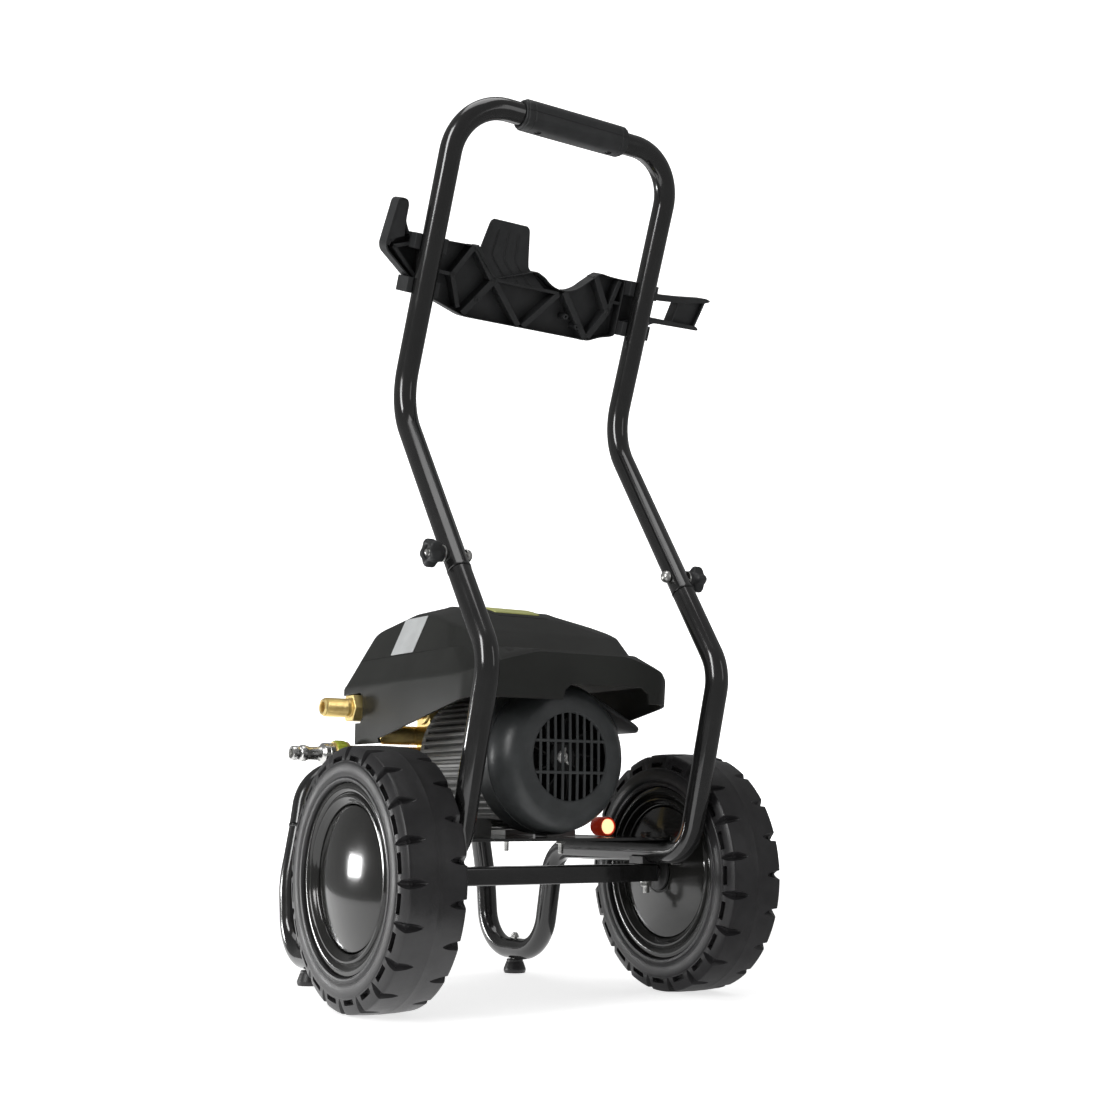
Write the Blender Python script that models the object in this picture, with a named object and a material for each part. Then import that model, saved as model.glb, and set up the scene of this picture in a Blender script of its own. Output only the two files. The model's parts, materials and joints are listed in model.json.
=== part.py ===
"""Electric cold-water pressure washer on a two-wheel trolley.

Metres, +Z up, +Y is the direction the trolley is pushed in, +X is the operator's right.
Everything is placed from the wheel axle line: Y = 0 below the axle, the ground at GROUND_Z.
One empty then moves the whole trolley so that its own origin lies on the ground, in the middle
of its footprint.
"""
import math

import bmesh
import bpy
from mathutils import Matrix, Vector

# ---------------------------------------------------------------- driving dimensions
GAP = 0.0003                      # clearance between touching solids
AXLE_SHIFT = (-0.00985, -0.106)   # moves the axle so that the footprint is centred
GROUND_Z = -0.0020                # the tyres and feet stand here

TUBE_R = 0.0125
TUBE_X = 0.144                    # half the distance between the two frame tubes
SPIGOT_R = 0.0106                 # reduced end of a frame tube
SPIGOT_LENGTH = 0.052
SOCKET_R = 0.0111                 # bore in the foot of the handle tube
SOCKET_DEPTH = 0.060
SIDES = 12                        # facets around a tube

HANDLE_TOP = Vector((0, -0.061, 0.952))
FORWARD_KINK = Vector((0, 0.062, 0.6386))
HANDLE_JOINT = Vector((0, -0.072, 0.437))
REAR_KINK = Vector((0, -0.1325, 0.3464))
RAIL_Z = 0.1530
RAIL_REAR_Y = -0.0765
LEG_REAR_Y = 0.190
LEG_FRONT_Y = 0.334
LEG_BOTTOM_Z = 0.0275
LEG_FRONT_X = 0.1255
LEG_TOP_Z = 0.178
CROSSBAR_Z = 0.243

WHEEL_R = 0.1320
AXLE_Z = 0.1300
WHEEL_X = 0.1955
TYRE_HALF_WIDTH = 0.0378
RIM_R = 0.0942
DOME_R = 0.0716
AXLE_R = 0.0070

PLATE_TOP = 0.1688
PLATE_THICK = 0.003
PLATE_HALF_X = 0.150
PLATE_REAR_Y = -0.047
PLATE_FRONT_Y = 0.270
BEAM_TOP = 0.1390
BEAM_BOTTOM = 0.1198
BEAM_HALF_Y = 0.0125
BEAM_HALF_X = 0.152

MOTOR_Z = 0.2535
COVER_R = 0.0815
COVER_REAR_Y = -0.0615
COVER_FRONT_Y = 0.000
CASING_R = 0.078
CASING_REAR_Y = 0.001
CASING_FRONT_Y = 0.124
STATOR_R = 0.060
MOTOR_BOLT_X = 0.0625
TERMINAL_TILT = math.radians(27)
TERMINAL_MIDDLE = 0.0445          # from the motor axis to the terminal box, along its lid
MOTOR_BOLT_YS = (0.050, 0.165)

PUMP_Y = 0.183
OUTLET_Z = 0.311
BYPASS_Z = 0.282
INLET_Z = 0.259
KNOB_RISE = 0.022                 # clamp bolt above the handle joint, along the tube

HOOD_HALF_X = 0.130
HOOD_WALL = 0.003
HOOD_FRONT_Y = 0.238
HOOD_SPLIT_Z = 0.366              # where the upper hood meets the lower hood
EDGE_LINE = ((-0.030, 0.3840), (0.000, 0.3900), (0.018, 0.3970), (0.050, 0.4070), (0.100, 0.4130),
             (0.155, 0.4040), (0.209, 0.3930))   # side edge of the roof, as (Y, Z)
CROWN_YS = (0.030, 0.033, 0.045, 0.070, 0.100, 0.130, 0.160, 0.163)
CROWN_LINE = ((0.030, 0.4085), (0.045, 0.4135), (0.070, 0.4210), (0.100, 0.4250), (0.130, 0.4210),
              (0.163, 0.4125))    # height of the roof's crown, as (Y, Z)

X_AXIS = Vector((1, 0, 0))
Y_AXIS = Vector((0, 1, 0))
Z_AXIS = Vector((0, 0, 1))


# ---------------------------------------------------------------- scene and materials
def clear_scene():
    for item in list(bpy.data.objects):
        bpy.data.objects.remove(item, do_unlink=True)


def material(name, colour, roughness, metallic):
    made = bpy.data.materials.new(name)
    made.use_nodes = True
    shader = made.node_tree.nodes["Principled BSDF"]
    shader.inputs["Base Color"].default_value = (*colour, 1)
    shader.inputs["Roughness"].default_value = roughness
    shader.inputs["Metallic"].default_value = metallic
    return made


def make_materials():
    return {
        "frame_paint": material("frame_paint", (0.012, 0.012, 0.013), 0.22, 0.1),
        "black_plastic": material("black_plastic", (0.022, 0.023, 0.024), 0.5, 0.0),
        "hood_plastic": material("hood_plastic", (0.025, 0.027, 0.026), 0.42, 0.0),
        "stripe": material("stripe", (0.55, 0.60, 0.10), 0.35, 0.0),
        "label": material("label", (0.55, 0.56, 0.56), 0.5, 0.0),
        "rubber": material("rubber", (0.030, 0.029, 0.030), 0.7, 0.0),
        "rim_paint": material("rim_paint", (0.020, 0.020, 0.020), 0.12, 0.1),
        "nylon": material("nylon", (0.04, 0.04, 0.04), 0.5, 0.0),
        "steel": material("steel", (0.60, 0.60, 0.61), 0.28, 1.0),
        "aluminium": material("aluminium", (0.32, 0.33, 0.34), 0.45, 0.9),
        "iron": material("iron", (0.25, 0.25, 0.26), 0.5, 0.9),
        "copper": material("copper", (0.55, 0.25, 0.12), 0.4, 0.8),
        "brass": material("brass", (0.72, 0.50, 0.16), 0.25, 1.0),
        "lamp_red": material("lamp_red", (0.45, 0.02, 0.01), 0.25, 0.0),
        "lamp_amber": material("lamp_amber", (0.95, 0.45, 0.12), 0.15, 0.0),
    }


# ---------------------------------------------------------------- general shape tools
def to_object(name, bm, finish, parent, location=(0, 0, 0), smooth=True):
    bmesh.ops.remove_doubles(bm, verts=bm.verts, dist=1e-6)
    bmesh.ops.recalc_face_normals(bm, faces=bm.faces)
    mesh = bpy.data.meshes.new(name)
    bm.to_mesh(mesh)
    bm.free()
    if smooth:
        mesh.shade_smooth()
        mesh.set_sharp_from_angle(angle=math.radians(35))
    made = bpy.data.objects.new(name, mesh)
    bpy.context.scene.collection.objects.link(made)
    made.parent = parent
    made.location = location
    mesh.materials.append(finish)
    return made


def frame_axes(direction):
    """Two unit vectors square to a direction."""
    side = Z_AXIS if abs(direction.z) < 0.9 else Y_AXIS
    first = direction.cross(side).normalized()
    return first, direction.cross(first).normalized()


def loft(bm, rings):
    """Skin closed rings of equal length, with a flat face on each end."""
    loops = [[bm.verts.new(point) for point in ring] for ring in rings]
    count = len(loops[0])
    for low, high in zip(loops, loops[1:]):
        for i in range(count):
            bm.faces.new((low[i], low[(i + 1) % count], high[(i + 1) % count], high[i]))
    bm.faces.new(list(reversed(loops[0])))
    bm.faces.new(loops[-1])


def ring(centre, first, second, radius, sides=SIDES):
    turns = (math.tau * i / sides for i in range(sides))
    return [centre + radius * (first * math.cos(a) + second * math.sin(a)) for a in turns]


def lathe(bm, profile, axis, sides):
    """Turn a closed outline, given as (distance along axis, radius), about an axis."""
    first, _ = frame_axes(axis)
    verts = [bm.verts.new(axis * along + first * radius) for along, radius in profile]
    edges = [bm.edges.new((verts[i], verts[(i + 1) % len(verts)])) for i in range(len(verts))
             if profile[i][1] > 1e-7 or profile[(i + 1) % len(verts)][1] > 1e-7]
    bmesh.ops.spin(bm, geom=verts + edges, cent=(0, 0, 0), axis=axis, angle=math.tau,
                   steps=sides, use_merge=True)


def turned(name, profile, axis, sides, finish, parent, location=(0, 0, 0)):
    bm = bmesh.new()
    lathe(bm, profile, axis, sides)
    return to_object(name, bm, finish, parent, location)


def rod(name, start, end, radius, sides, finish, parent, location=(0, 0, 0)):
    direction = (end - start).normalized()
    first, second = frame_axes(direction)
    bm = bmesh.new()
    loft(bm, [ring(point, first, second, radius, sides) for point in (start, end)])
    return to_object(name, bm, finish, parent, location)


def block(name, low, high, finish, parent, bevel=0.0):
    bm = bmesh.new()
    bmesh.ops.create_cube(bm, size=1)
    size = Vector(high) - Vector(low)
    bmesh.ops.scale(bm, verts=bm.verts, vec=size)
    bmesh.ops.translate(bm, verts=bm.verts, vec=(Vector(high) + Vector(low)) / 2)
    if bevel:
        bmesh.ops.bevel(bm, geom=bm.edges, offset=bevel, segments=2, affect="EDGES", profile=0.5)
    return to_object(name, bm, finish, parent)


def slab(name, outline, origin, across, up, thickness, finish, parent):
    """Extrude a flat outline, given as (across, up) pairs, by a thickness square to it."""
    normal = across.cross(up).normalized()
    bm = bmesh.new()
    points = [origin + across * u + up * v for u, v in outline]
    loft(bm, [points, [point + normal * thickness for point in points]])
    return to_object(name, bm, finish, parent)


def cutter(name, bm_maker, parent):
    bm = bmesh.new()
    bm_maker(bm)
    made = to_object(name, bm, None, parent, smooth=False)
    made.hide_render = True
    made.display_type = "WIRE"
    return made


def cut(target, tool, operation="DIFFERENCE"):
    change = target.modifiers.new(operation.lower() + "_" + tool.name, "BOOLEAN")
    change.operation = operation
    change.object = tool
    change.solver = "EXACT"


def hole(target, centre, direction, radius, length, parent, sides=12):
    first, second = frame_axes(direction)
    ends = (centre - direction * length / 2, centre + direction * length / 2)
    tool = cutter(target.name + "_hole", lambda bm: loft(
        bm, [ring(point, first, second, radius, sides) for point in ends]), parent)
    cut(target, tool)


def rounded_path(corners, step_deg=18):
    """Points along a bent tube's centre line; each corner is (place, bend radius)."""
    points = [corners[0][0]]
    for (before, _), (corner, radius), (after, _) in zip(corners, corners[1:], corners[2:]):
        arrive, leave = (corner - before).normalized(), (after - corner).normalized()
        angle = arrive.angle(leave)
        setback = radius * math.tan(angle / 2)
        start = corner - arrive * setback
        bend_axis = arrive.cross(leave).normalized()
        centre = start + bend_axis.cross(arrive) * radius
        steps = max(2, round(math.degrees(angle) / step_deg))
        for i in range(steps + 1):
            turn = Matrix.Rotation(angle * i / steps, 3, bend_axis)
            points.append(centre + turn @ (start - centre))
    points.append(corners[-1][0])
    return points


def sweep_rings(points, radius):
    """Rings square to a path, turned as little as possible from one to the next."""
    heading = (points[1] - points[0]).normalized()
    first = heading.cross(X_AXIS).normalized() if abs(heading.x) < 0.9 else Y_AXIS.copy()
    rings = []
    for i, point in enumerate(points):
        ahead = (points[min(i + 1, len(points) - 1)] - point).normalized()
        behind = (point - points[max(i - 1, 0)]).normalized()
        heading = (ahead + behind).normalized()
        first = (first - heading * first.dot(heading)).normalized()
        rings.append(ring(point, first, heading.cross(first), radius))
    return rings


def side_point(side, point, x=TUBE_X):
    return Vector((side * x, point.y, point.z))


def join_direction():
    return (FORWARD_KINK - HANDLE_JOINT).normalized()


def clamp_point(side):
    return side_point(side, HANDLE_JOINT + join_direction() * KNOB_RISE)


# ---------------------------------------------------------------- frame
def leg_corners(side):
    """Frame tube from the handle joint down, under the plate and round the foot loop."""
    return [
        (side_point(side, HANDLE_JOINT), 0),
        (side_point(side, REAR_KINK), 0.050),
        (Vector((side * TUBE_X, RAIL_REAR_Y, RAIL_Z)), 0.042),
        (Vector((side * TUBE_X, LEG_REAR_Y - 0.005, RAIL_Z)), 0.040),
        (Vector((side * 0.142, LEG_REAR_Y + 0.019, LEG_BOTTOM_Z)), 0.050),
        (Vector((side * 0.137, LEG_FRONT_Y - 0.010, LEG_BOTTOM_Z)), 0.050),
        (Vector((side * 0.137, LEG_FRONT_Y, 0.110)), 0.150),
        (Vector((side * LEG_FRONT_X, LEG_FRONT_Y, LEG_TOP_Z)), 0),
    ]


def make_frame_tube(side, name, finish, parent):
    spigot_top = side_point(side, HANDLE_JOINT + join_direction() * SPIGOT_LENGTH)
    path = rounded_path(leg_corners(side))
    rings = sweep_rings([spigot_top] + path, TUBE_R)
    thin = SPIGOT_R / TUBE_R
    narrowed = [[centre.lerp(point, thin) for point in source]
                for centre, source in ((spigot_top, rings[0]), (path[0], rings[1]))]
    bm = bmesh.new()
    loft(bm, narrowed + rings[1:])
    tube = to_object(name, bm, finish, parent)
    slot_low = HANDLE_JOINT + join_direction() * (KNOB_RISE - 0.0048)
    slot_high = HANDLE_JOINT + join_direction() * (SPIGOT_LENGTH + 0.01)
    wide = join_direction().cross(X_AXIS).normalized() * 0.0043
    near, far = side * (TUBE_X - 0.02), side * (TUBE_X + 0.02)

    def slot(bm):
        corners = (slot_low - wide, slot_low + wide, slot_high + wide, slot_high - wide)
        loft(bm, [[side_point(1, corner, x) for corner in corners] for x in (near, far)])

    cut(tube, cutter(name + "_slot", slot, parent))
    hole(tube, Vector((side * TUBE_X, 0, RAIL_Z)), Z_AXIS, 0.0044, 0.05, parent)
    foot_y = (LEG_REAR_Y + LEG_FRONT_Y + 0.009) / 2
    hole(tube, Vector((side * 0.1395, foot_y, LEG_BOTTOM_Z)), Z_AXIS, 0.0033, 0.05, parent)
    return tube


def make_front_crossbar(finish, parent):
    lean = 0.006
    corners = [
        (Vector((-LEG_FRONT_X, LEG_FRONT_Y, LEG_TOP_Z + 0.0012)), 0),
        (Vector((-LEG_FRONT_X + 0.011, LEG_FRONT_Y + lean, CROSSBAR_Z)), 0.050),
        (Vector((LEG_FRONT_X - 0.011, LEG_FRONT_Y + lean, CROSSBAR_Z)), 0.050),
        (Vector((LEG_FRONT_X, LEG_FRONT_Y, LEG_TOP_Z + 0.0012)), 0),
    ]
    bm = bmesh.new()
    loft(bm, sweep_rings(rounded_path(corners), TUBE_R))
    return to_object("front_crossbar", bm, finish, parent)


def make_axle_beam(finish, parent):
    """Box-section beam, open at both ends, with the wheel axle lying inside it."""
    bm = bmesh.new()
    middle = (BEAM_TOP + BEAM_BOTTOM) / 2
    half_z = (BEAM_TOP - BEAM_BOTTOM) / 2
    wall = 0.0015

    def section(x, shrink):
        y, z = BEAM_HALF_Y - shrink, half_z - shrink
        return [Vector((x, sy * y, middle + sz * z)) for sy, sz in ((-1, -1), (1, -1), (1, 1), (-1, 1))]

    sections = [section(-BEAM_HALF_X, 0), section(BEAM_HALF_X, 0),
                section(BEAM_HALF_X, wall), section(-BEAM_HALF_X, wall)]
    loops = [[bm.verts.new(point) for point in part] for part in sections]
    for low, high in zip(loops, loops[1:] + loops[:1]):
        for i in range(4):
            bm.faces.new((low[i], low[(i + 1) % 4], high[(i + 1) % 4], high[i]))
    beam = to_object("axle_beam", bm, finish, parent, smooth=False)
    for side in (-1, 1):
        hole(beam, Vector((side * TUBE_X, 0, middle)), Z_AXIS, 0.0044, 0.05, parent)
    return beam


def make_wheel_axle(finish, parent):
    reach = WHEEL_X + 0.012
    axle = rod("wheel_axle", Vector((-reach, 0, AXLE_Z)), Vector((reach, 0, AXLE_Z)), AXLE_R, 16,
               finish, parent)
    for side in (-1, 1):
        hole(axle, Vector((side * TUBE_X, 0, AXLE_Z)), Z_AXIS, 0.0044, 0.05, parent)
    return axle


def make_saddle(side, name, finish, parent):
    low = Vector((side * TUBE_X - 0.014, -0.0125, BEAM_TOP + GAP))
    high = Vector((side * TUBE_X + 0.014, 0.0125, RAIL_Z - 0.006))
    saddle = block(name, low, high, finish, parent)
    groove = cutter(name + "_groove", lambda bm: loft(bm, [
        ring(Vector((side * TUBE_X, y, RAIL_Z)), X_AXIS, Z_AXIS, TUBE_R + GAP, 24)
        for y in (-0.03, 0.03)]), parent)
    cut(saddle, groove)
    hole(saddle, Vector((side * TUBE_X, 0, BEAM_TOP)), Z_AXIS, 0.0044, 0.05, parent)
    return saddle


def headed_bolt(name, top, bottom, shank_r, head_r, head_h, nut_z, place, finish, parent):
    """Upright bolt with its head on top and its nut, drawn as one turned body."""
    nut_top, nut_bottom = nut_z, nut_z - head_h
    profile = [(top + head_h, 0), (top + head_h, head_r), (top, head_r), (top, shank_r),
               (nut_top, shank_r), (nut_top, head_r), (nut_bottom, head_r), (nut_bottom, shank_r),
               (bottom, shank_r), (bottom, 0)]
    return turned(name, profile, Z_AXIS, 12, finish, parent, place)


def make_base_plate(finish, parent):
    corner, steps = 0.012, 3
    outline = []
    for cx, cy, start in ((1, 1, 0), (-1, 1, 90), (-1, -1, 180), (1, -1, 270)):
        x = cx * (PLATE_HALF_X - corner)
        y = (PLATE_FRONT_Y - corner) if cy > 0 else (PLATE_REAR_Y + corner)
        for i in range(steps + 1):
            a = math.radians(start + 90 * i / steps)
            outline.append((x + corner * math.cos(a), y + corner * math.sin(a)))
    plate = slab("base_plate", outline, Vector((0, 0, PLATE_TOP - PLATE_THICK)), X_AXIS, Y_AXIS,
                 PLATE_THICK, finish, parent)
    for x in (-MOTOR_BOLT_X, MOTOR_BOLT_X):
        for y in MOTOR_BOLT_YS:
            hole(plate, Vector((x, y, PLATE_TOP)), Z_AXIS, 0.0036, 0.02, parent)
    for side in (-1, 1):
        hole(plate, Vector((side * TUBE_X, 0, PLATE_TOP)), Z_AXIS, 0.0044, 0.02, parent, 10)
    return plate


def make_foot(side, name, finish, parent):
    """Tapered rubber buffer under the foot loop, with a hole up its middle for its screw."""
    foot_y = (LEG_REAR_Y + LEG_FRONT_Y + 0.009) / 2
    top = LEG_BOTTOM_Z - TUBE_R - GAP
    profile = [(GROUND_Z, 0.0135), (GROUND_Z, 0.0075), (0.004, 0.0075), (0.004, 0.0033), (top, 0.0033),
               (top, 0.0100), (0.003, 0.0138)]
    return turned(name, profile, Z_AXIS, 20, finish, parent, (side * 0.1395, foot_y, 0))


def make_foot_bolt(side, name, finish, parent):
    foot_y = (LEG_REAR_Y + LEG_FRONT_Y + 0.009) / 2
    head_top = LEG_BOTTOM_Z + TUBE_R + 0.0055
    profile = [(head_top, 0), (head_top, 0.0035), (head_top - 0.0015, 0.0055),
               (LEG_BOTTOM_Z + TUBE_R + GAP, 0.0055), (LEG_BOTTOM_Z + TUBE_R + GAP, 0.003),
               (0.0035, 0.003), (0.0035, 0.0065), (0.001, 0.0065), (0.001, 0)]
    return turned(name, profile, Z_AXIS, 12, finish, parent, (side * 0.1395, foot_y, 0))


# ---------------------------------------------------------------- handle
def make_handle_tube(finish, parent):
    start = HANDLE_JOINT + join_direction() * GAP
    corners = [(side_point(-1, start), 0), (side_point(-1, FORWARD_KINK), 0.075),
               (side_point(-1, HANDLE_TOP), 0.058), (side_point(1, HANDLE_TOP), 0.058),
               (side_point(1, FORWARD_KINK), 0.075), (side_point(1, start), 0)]
    path = rounded_path(corners)
    rings = sweep_rings(path, TUBE_R)
    thin = SOCKET_R / TUBE_R
    deep = join_direction() * SOCKET_DEPTH

    def bored(centre, source):
        mouth = [centre.lerp(point, thin) for point in source]
        return mouth, [point + deep for point in mouth]

    left_mouth, left_end = bored(path[0], rings[0])
    right_mouth, right_end = bored(path[-1], rings[-1])
    bm = bmesh.new()
    loft(bm, [left_end, left_mouth] + rings + [right_mouth, right_end])
    tube = to_object("handle_tube", bm, finish, parent)
    for side in (-1, 1):
        hole(tube, clamp_point(side), X_AXIS, 0.0043, 0.05, parent)
    return tube


def make_grip_half(name, top, finish, parent):
    """Half shell of the hand grip, clamped round the crossbar."""
    half_length, outer, inner, chamfer = 0.0685, 0.0168, TUBE_R + GAP, 0.002
    start = 0 if top else math.pi
    steps = 10

    def section(x, radius):
        gap = 0.0002 if top else -0.0002
        arc = [start + math.pi * i / steps for i in range(steps + 1)]
        out = [Vector((x, -math.cos(a) * radius, math.sin(a) * radius + gap)) for a in arc]
        back = [Vector((x, -math.cos(a) * inner, math.sin(a) * inner + gap)) for a in reversed(arc)]
        return out + back

    stations = ((-half_length, outer - chamfer), (-half_length + chamfer, outer),
                (half_length - chamfer, outer), (half_length, outer - chamfer))
    bm = bmesh.new()
    loft(bm, [section(x, radius) for x, radius in stations])
    return to_object(name, bm, finish, parent, HANDLE_TOP)


def holder_frame():
    """Origin and axes of the tool holder's plane: along the tubes, and square to them."""
    down = (FORWARD_KINK - HANDLE_TOP).normalized()
    return HANDLE_TOP.copy(), down, down.cross(X_AXIS).normalized() * -1


def make_tool_holder(finish, parent):
    """Ribbed panel in front of the tubes with a finger tab and a round saddle for the lance."""
    origin, down, forward = holder_frame()
    saddle_x, saddle_s, saddle_r = 0.040, 0.139, 0.038
    sag = [(saddle_x - saddle_r * math.cos(math.radians(a)), saddle_s + saddle_r * math.sin(math.radians(a)))
           for a in range(25, 156, 13)]
    outline = ([(-0.124, 0.151), (-0.080, 0.151), (-0.072, 0.156), (-0.064, 0.118), (-0.060, 0.115),
                (-0.018, 0.115), (-0.014, 0.118), (-0.002, 0.150)] + sag
               + [(0.080, 0.149), (0.124, 0.150), (0.124, 0.216), (0.104, 0.222), (0.084, 0.229),
                  (-0.085, 0.229), (-0.124, 0.217)])
    back = TUBE_R + 0.001
    outline = [(u, -s) for u, s in outline]
    start = origin + forward * back
    panel = slab("tool_holder", list(reversed(outline)), start, X_AXIS, -down, -0.018, finish, parent)
    return panel


def make_holder_wing(side, name, outline, thickness, finish, parent):
    origin, down, forward = holder_frame()
    start = origin + forward * (TUBE_R + 0.001)
    points = [(side * u, -s) for u, s in outline]
    if side > 0:
        points = list(reversed(points))
    return slab(name, points, start, X_AXIS, -down, -thickness, finish, parent)


def make_lance_hook(finish, parent):
    outline = [(0.1243, 0.152), (0.146, 0.153), (0.158, 0.156), (0.168, 0.150), (0.173, 0.140),
               (0.173, 0.122), (0.176, 0.117), (0.183, 0.116), (0.187, 0.119), (0.193, 0.168),
               (0.190, 0.175), (0.144, 0.208), (0.1243, 0.214)]
    return make_holder_wing(-1, "lance_hook", outline, 0.018, finish, parent)


def make_cable_hook(finish, parent):
    """Two prongs to the right of the frame, tied by a slanted web."""
    outline = [(0.1243, 0.152), (0.160, 0.153), (0.163, 0.158), (0.246, 0.149), (0.2530, 0.152),
               (0.2530, 0.154), (0.249, 0.155), (0.238, 0.186), (0.243, 0.189), (0.243, 0.192),
               (0.165, 0.194), (0.160, 0.206), (0.1243, 0.212)]
    hook = make_holder_wing(1, "cable_hook", outline, 0.018, finish, parent)
    origin, down, forward = holder_frame()
    window = [(0.166, -0.162), (0.166, -0.188), (0.204, -0.188), (0.211, -0.160)]

    def opening(bm):
        start = origin + forward * 0.0
        points = [start + X_AXIS * u - down * v for u, v in window]
        loft(bm, [points, [point + forward * 0.05 for point in points]])

    cut(hook, cutter("cable_hook_window", opening, parent))
    return hook


# ---------------------------------------------------------------- handle clamps
def make_clamp_bolt(side, name, finish, parent):
    """Dome-headed bolt through the handle tube; the head is on the inner side."""
    profile = [(-0.0205, 0), (-0.0205, 0.002), (-0.0185, 0.0052), (-0.0150, 0.0068), (-0.0130, 0.0068),
               (-0.0130, 0.004), (0.0320, 0.004), (0.0320, 0)]
    return turned(name, profile, X_AXIS * side, 12, finish, parent, clamp_point(side))


def make_clamp_knob(side, name, finish, parent):
    """Star knob with five soft lobes, bored for the bolt, turning about its own origin."""
    lobes, depth_low, depth_high = 5, 0.0145, 0.0335
    sides = lobes * 6
    axis = X_AXIS * side
    first, second = frame_axes(axis)

    def star(along, scale):
        points = []
        for i in range(sides):
            a = math.tau * i / sides
            radius = scale * (0.0130 + 0.0022 * math.cos(lobes * a))
            points.append(axis * along + radius * (first * math.cos(a) + second * math.sin(a)))
        return points

    def circle(along, radius):
        return ring(axis * along, first, second, radius, sides)

    rings = [circle(depth_low, 0.0085), circle(depth_low + 0.004, 0.0085), star(depth_low + 0.006, 0.95),
             star(depth_high - 0.004, 1.0), star(depth_high, 0.86), circle(depth_high, 0.0060),
             circle(depth_high - 0.0025, 0.0044), circle(depth_low, 0.0044)]
    bm = bmesh.new()
    loops = [[bm.verts.new(point) for point in part] for part in rings]
    for low, high in zip(loops, loops[1:] + loops[:1]):
        for i in range(sides):
            bm.faces.new((low[i], low[(i + 1) % sides], high[(i + 1) % sides], high[i]))
    return to_object(name, bm, finish, parent, clamp_point(side))


# ---------------------------------------------------------------- wheels
def wheel_place(side):
    return (side * WHEEL_X, 0, AXLE_Z)


def make_tyre(side, name, finish, parent):
    w, r = TYRE_HALF_WIDTH, WHEEL_R
    outer = [(w - 0.010, RIM_R + 0.001), (w - 0.001, RIM_R + 0.003), (w, r - 0.024), (w - 0.0025, r - 0.014),
             (w - 0.0067, r - 0.0015)]
    profile = [(-u, v) for u, v in outer] + [(0, r)] + list(reversed(outer))
    return turned(name, profile, X_AXIS * side, 32, finish, parent, wheel_place(side))


def make_rim(side, name, finish, parent):
    """Pressed rim and wheel disc in one, bored for the hub."""
    r = RIM_R + 0.001 - GAP
    flange = [(0.0275, r), (0.0335, r - 0.0035), (0.0335, r - 0.0080), (0.0290, r - 0.0115),
              (0.0220, r - 0.0130)]
    disc = [(0.0120, r - 0.0145), (0.0100, 0.0168), (0.0060, 0.0168), (0.0060, r - 0.0165)]
    profile = flange + disc + [(-u, v) for u, v in reversed(flange)]
    return turned(name, profile, X_AXIS * side, 32, finish, parent, wheel_place(side))


def make_hub(side, name, finish, parent):
    """Nylon hub that runs on the steel axle."""
    profile = [(-0.036, 0.0073), (-0.036, 0.0165), (0.0095, 0.0165), (0.0095, 0.0073)]
    return turned(name, profile, X_AXIS * side, 16, finish, parent, wheel_place(side))


def make_dome(side, name, finish, parent):
    """Domed wheel cover snapped into the outer rim; it hides the axle end."""
    edge, crown, wall, steps = 0.0271, 0.0375, 0.002, 5
    rise = [(crown - (crown - edge) * (i / steps) ** 2, DOME_R * i / steps) for i in range(steps + 1)]
    under = [(along - wall, max(0.0, radius - wall)) for along, radius in reversed(rise)]
    return turned(name, rise + under, X_AXIS * side, 28, finish, parent, wheel_place(side))


# ---------------------------------------------------------------- motor
def make_motor_casing(finish, parent):
    """Finned extrusion with a round bore and two flat feet near its rear end."""
    fins, inner = 22, STATOR_R + GAP
    section, bore = [], []
    for i in range(fins):
        for offset, radius in ((-0.32, CASING_R), (0.10, CASING_R), (0.26, 0.069), (0.52, 0.069)):
            a = math.tau * (i + offset) / fins
            section.append((radius * math.sin(a), radius * math.cos(a)))
            bore.append((inner * math.sin(a), inner * math.cos(a)))
    bm = bmesh.new()
    layers = ((section, CASING_REAR_Y), (section, CASING_FRONT_Y), (bore, CASING_FRONT_Y),
              (bore, CASING_REAR_Y))
    loops = [[bm.verts.new((x, y, MOTOR_Z + z)) for x, z in points] for points, y in layers]
    count = len(section)
    for low, high in zip(loops, loops[1:] + loops[:1]):
        for i in range(count):
            bm.faces.new((low[i], low[(i + 1) % count], high[(i + 1) % count], high[i]))
    casing = to_object("motor_casing", bm, finish, parent)
    add_motor_feet(casing, MOTOR_BOLT_YS[0], (0.038, 0.062), 0.020, parent)
    return casing


def add_motor_feet(casting, bolt_y, span, height, parent):
    """Cast feet on both sides of a motor part, from its skin down to the plate, bored for foot bolts."""
    first, second = frame_axes(Z_AXIS)
    for side in (-1, 1):
        outline = [(0.036, GAP), (0.074, GAP), (0.074, 0.0065), (0.058, 0.020), (0.036, height)]
        foot = cutter("motor_foot", lambda bm: loft(bm, [
            [Vector((side * x, y, PLATE_TOP + z)) for x, z in outline] for y in span]), parent)
        cut(casting, foot, "UNION")
        place = Vector((side * MOTOR_BOLT_X, bolt_y, PLATE_TOP))
        hole(casting, place, Z_AXIS, 0.0036, 0.045, parent)
        seat = cutter("motor_bolt_seat", lambda bm: loft(bm, [
            ring(place + Z_AXIS * z, first, second, 0.0065, 16) for z in (0.0100, 0.0240)]), parent)
        cut(casting, seat)


def make_stator(finish, parent):
    profile = [(0.020, STATOR_R), (0.105, STATOR_R), (0.105, 0.0425), (0.020, 0.0425)]
    return turned("stator", profile, Y_AXIS, 24, finish, parent, (0, 0, MOTOR_Z))


def make_rotor(finish, parent):
    """Rotor pack and its stepped shaft, turned in one."""
    profile = [(-0.046, 0), (-0.046, 0.0070), (0.022, 0.0070), (0.022, 0.0420), (0.102, 0.0420),
               (0.102, 0.0070), (0.158, 0.0070), (0.158, 0)]
    return turned("rotor", profile, Y_AXIS, 24, finish, parent, (0, 0, MOTOR_Z))


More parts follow.
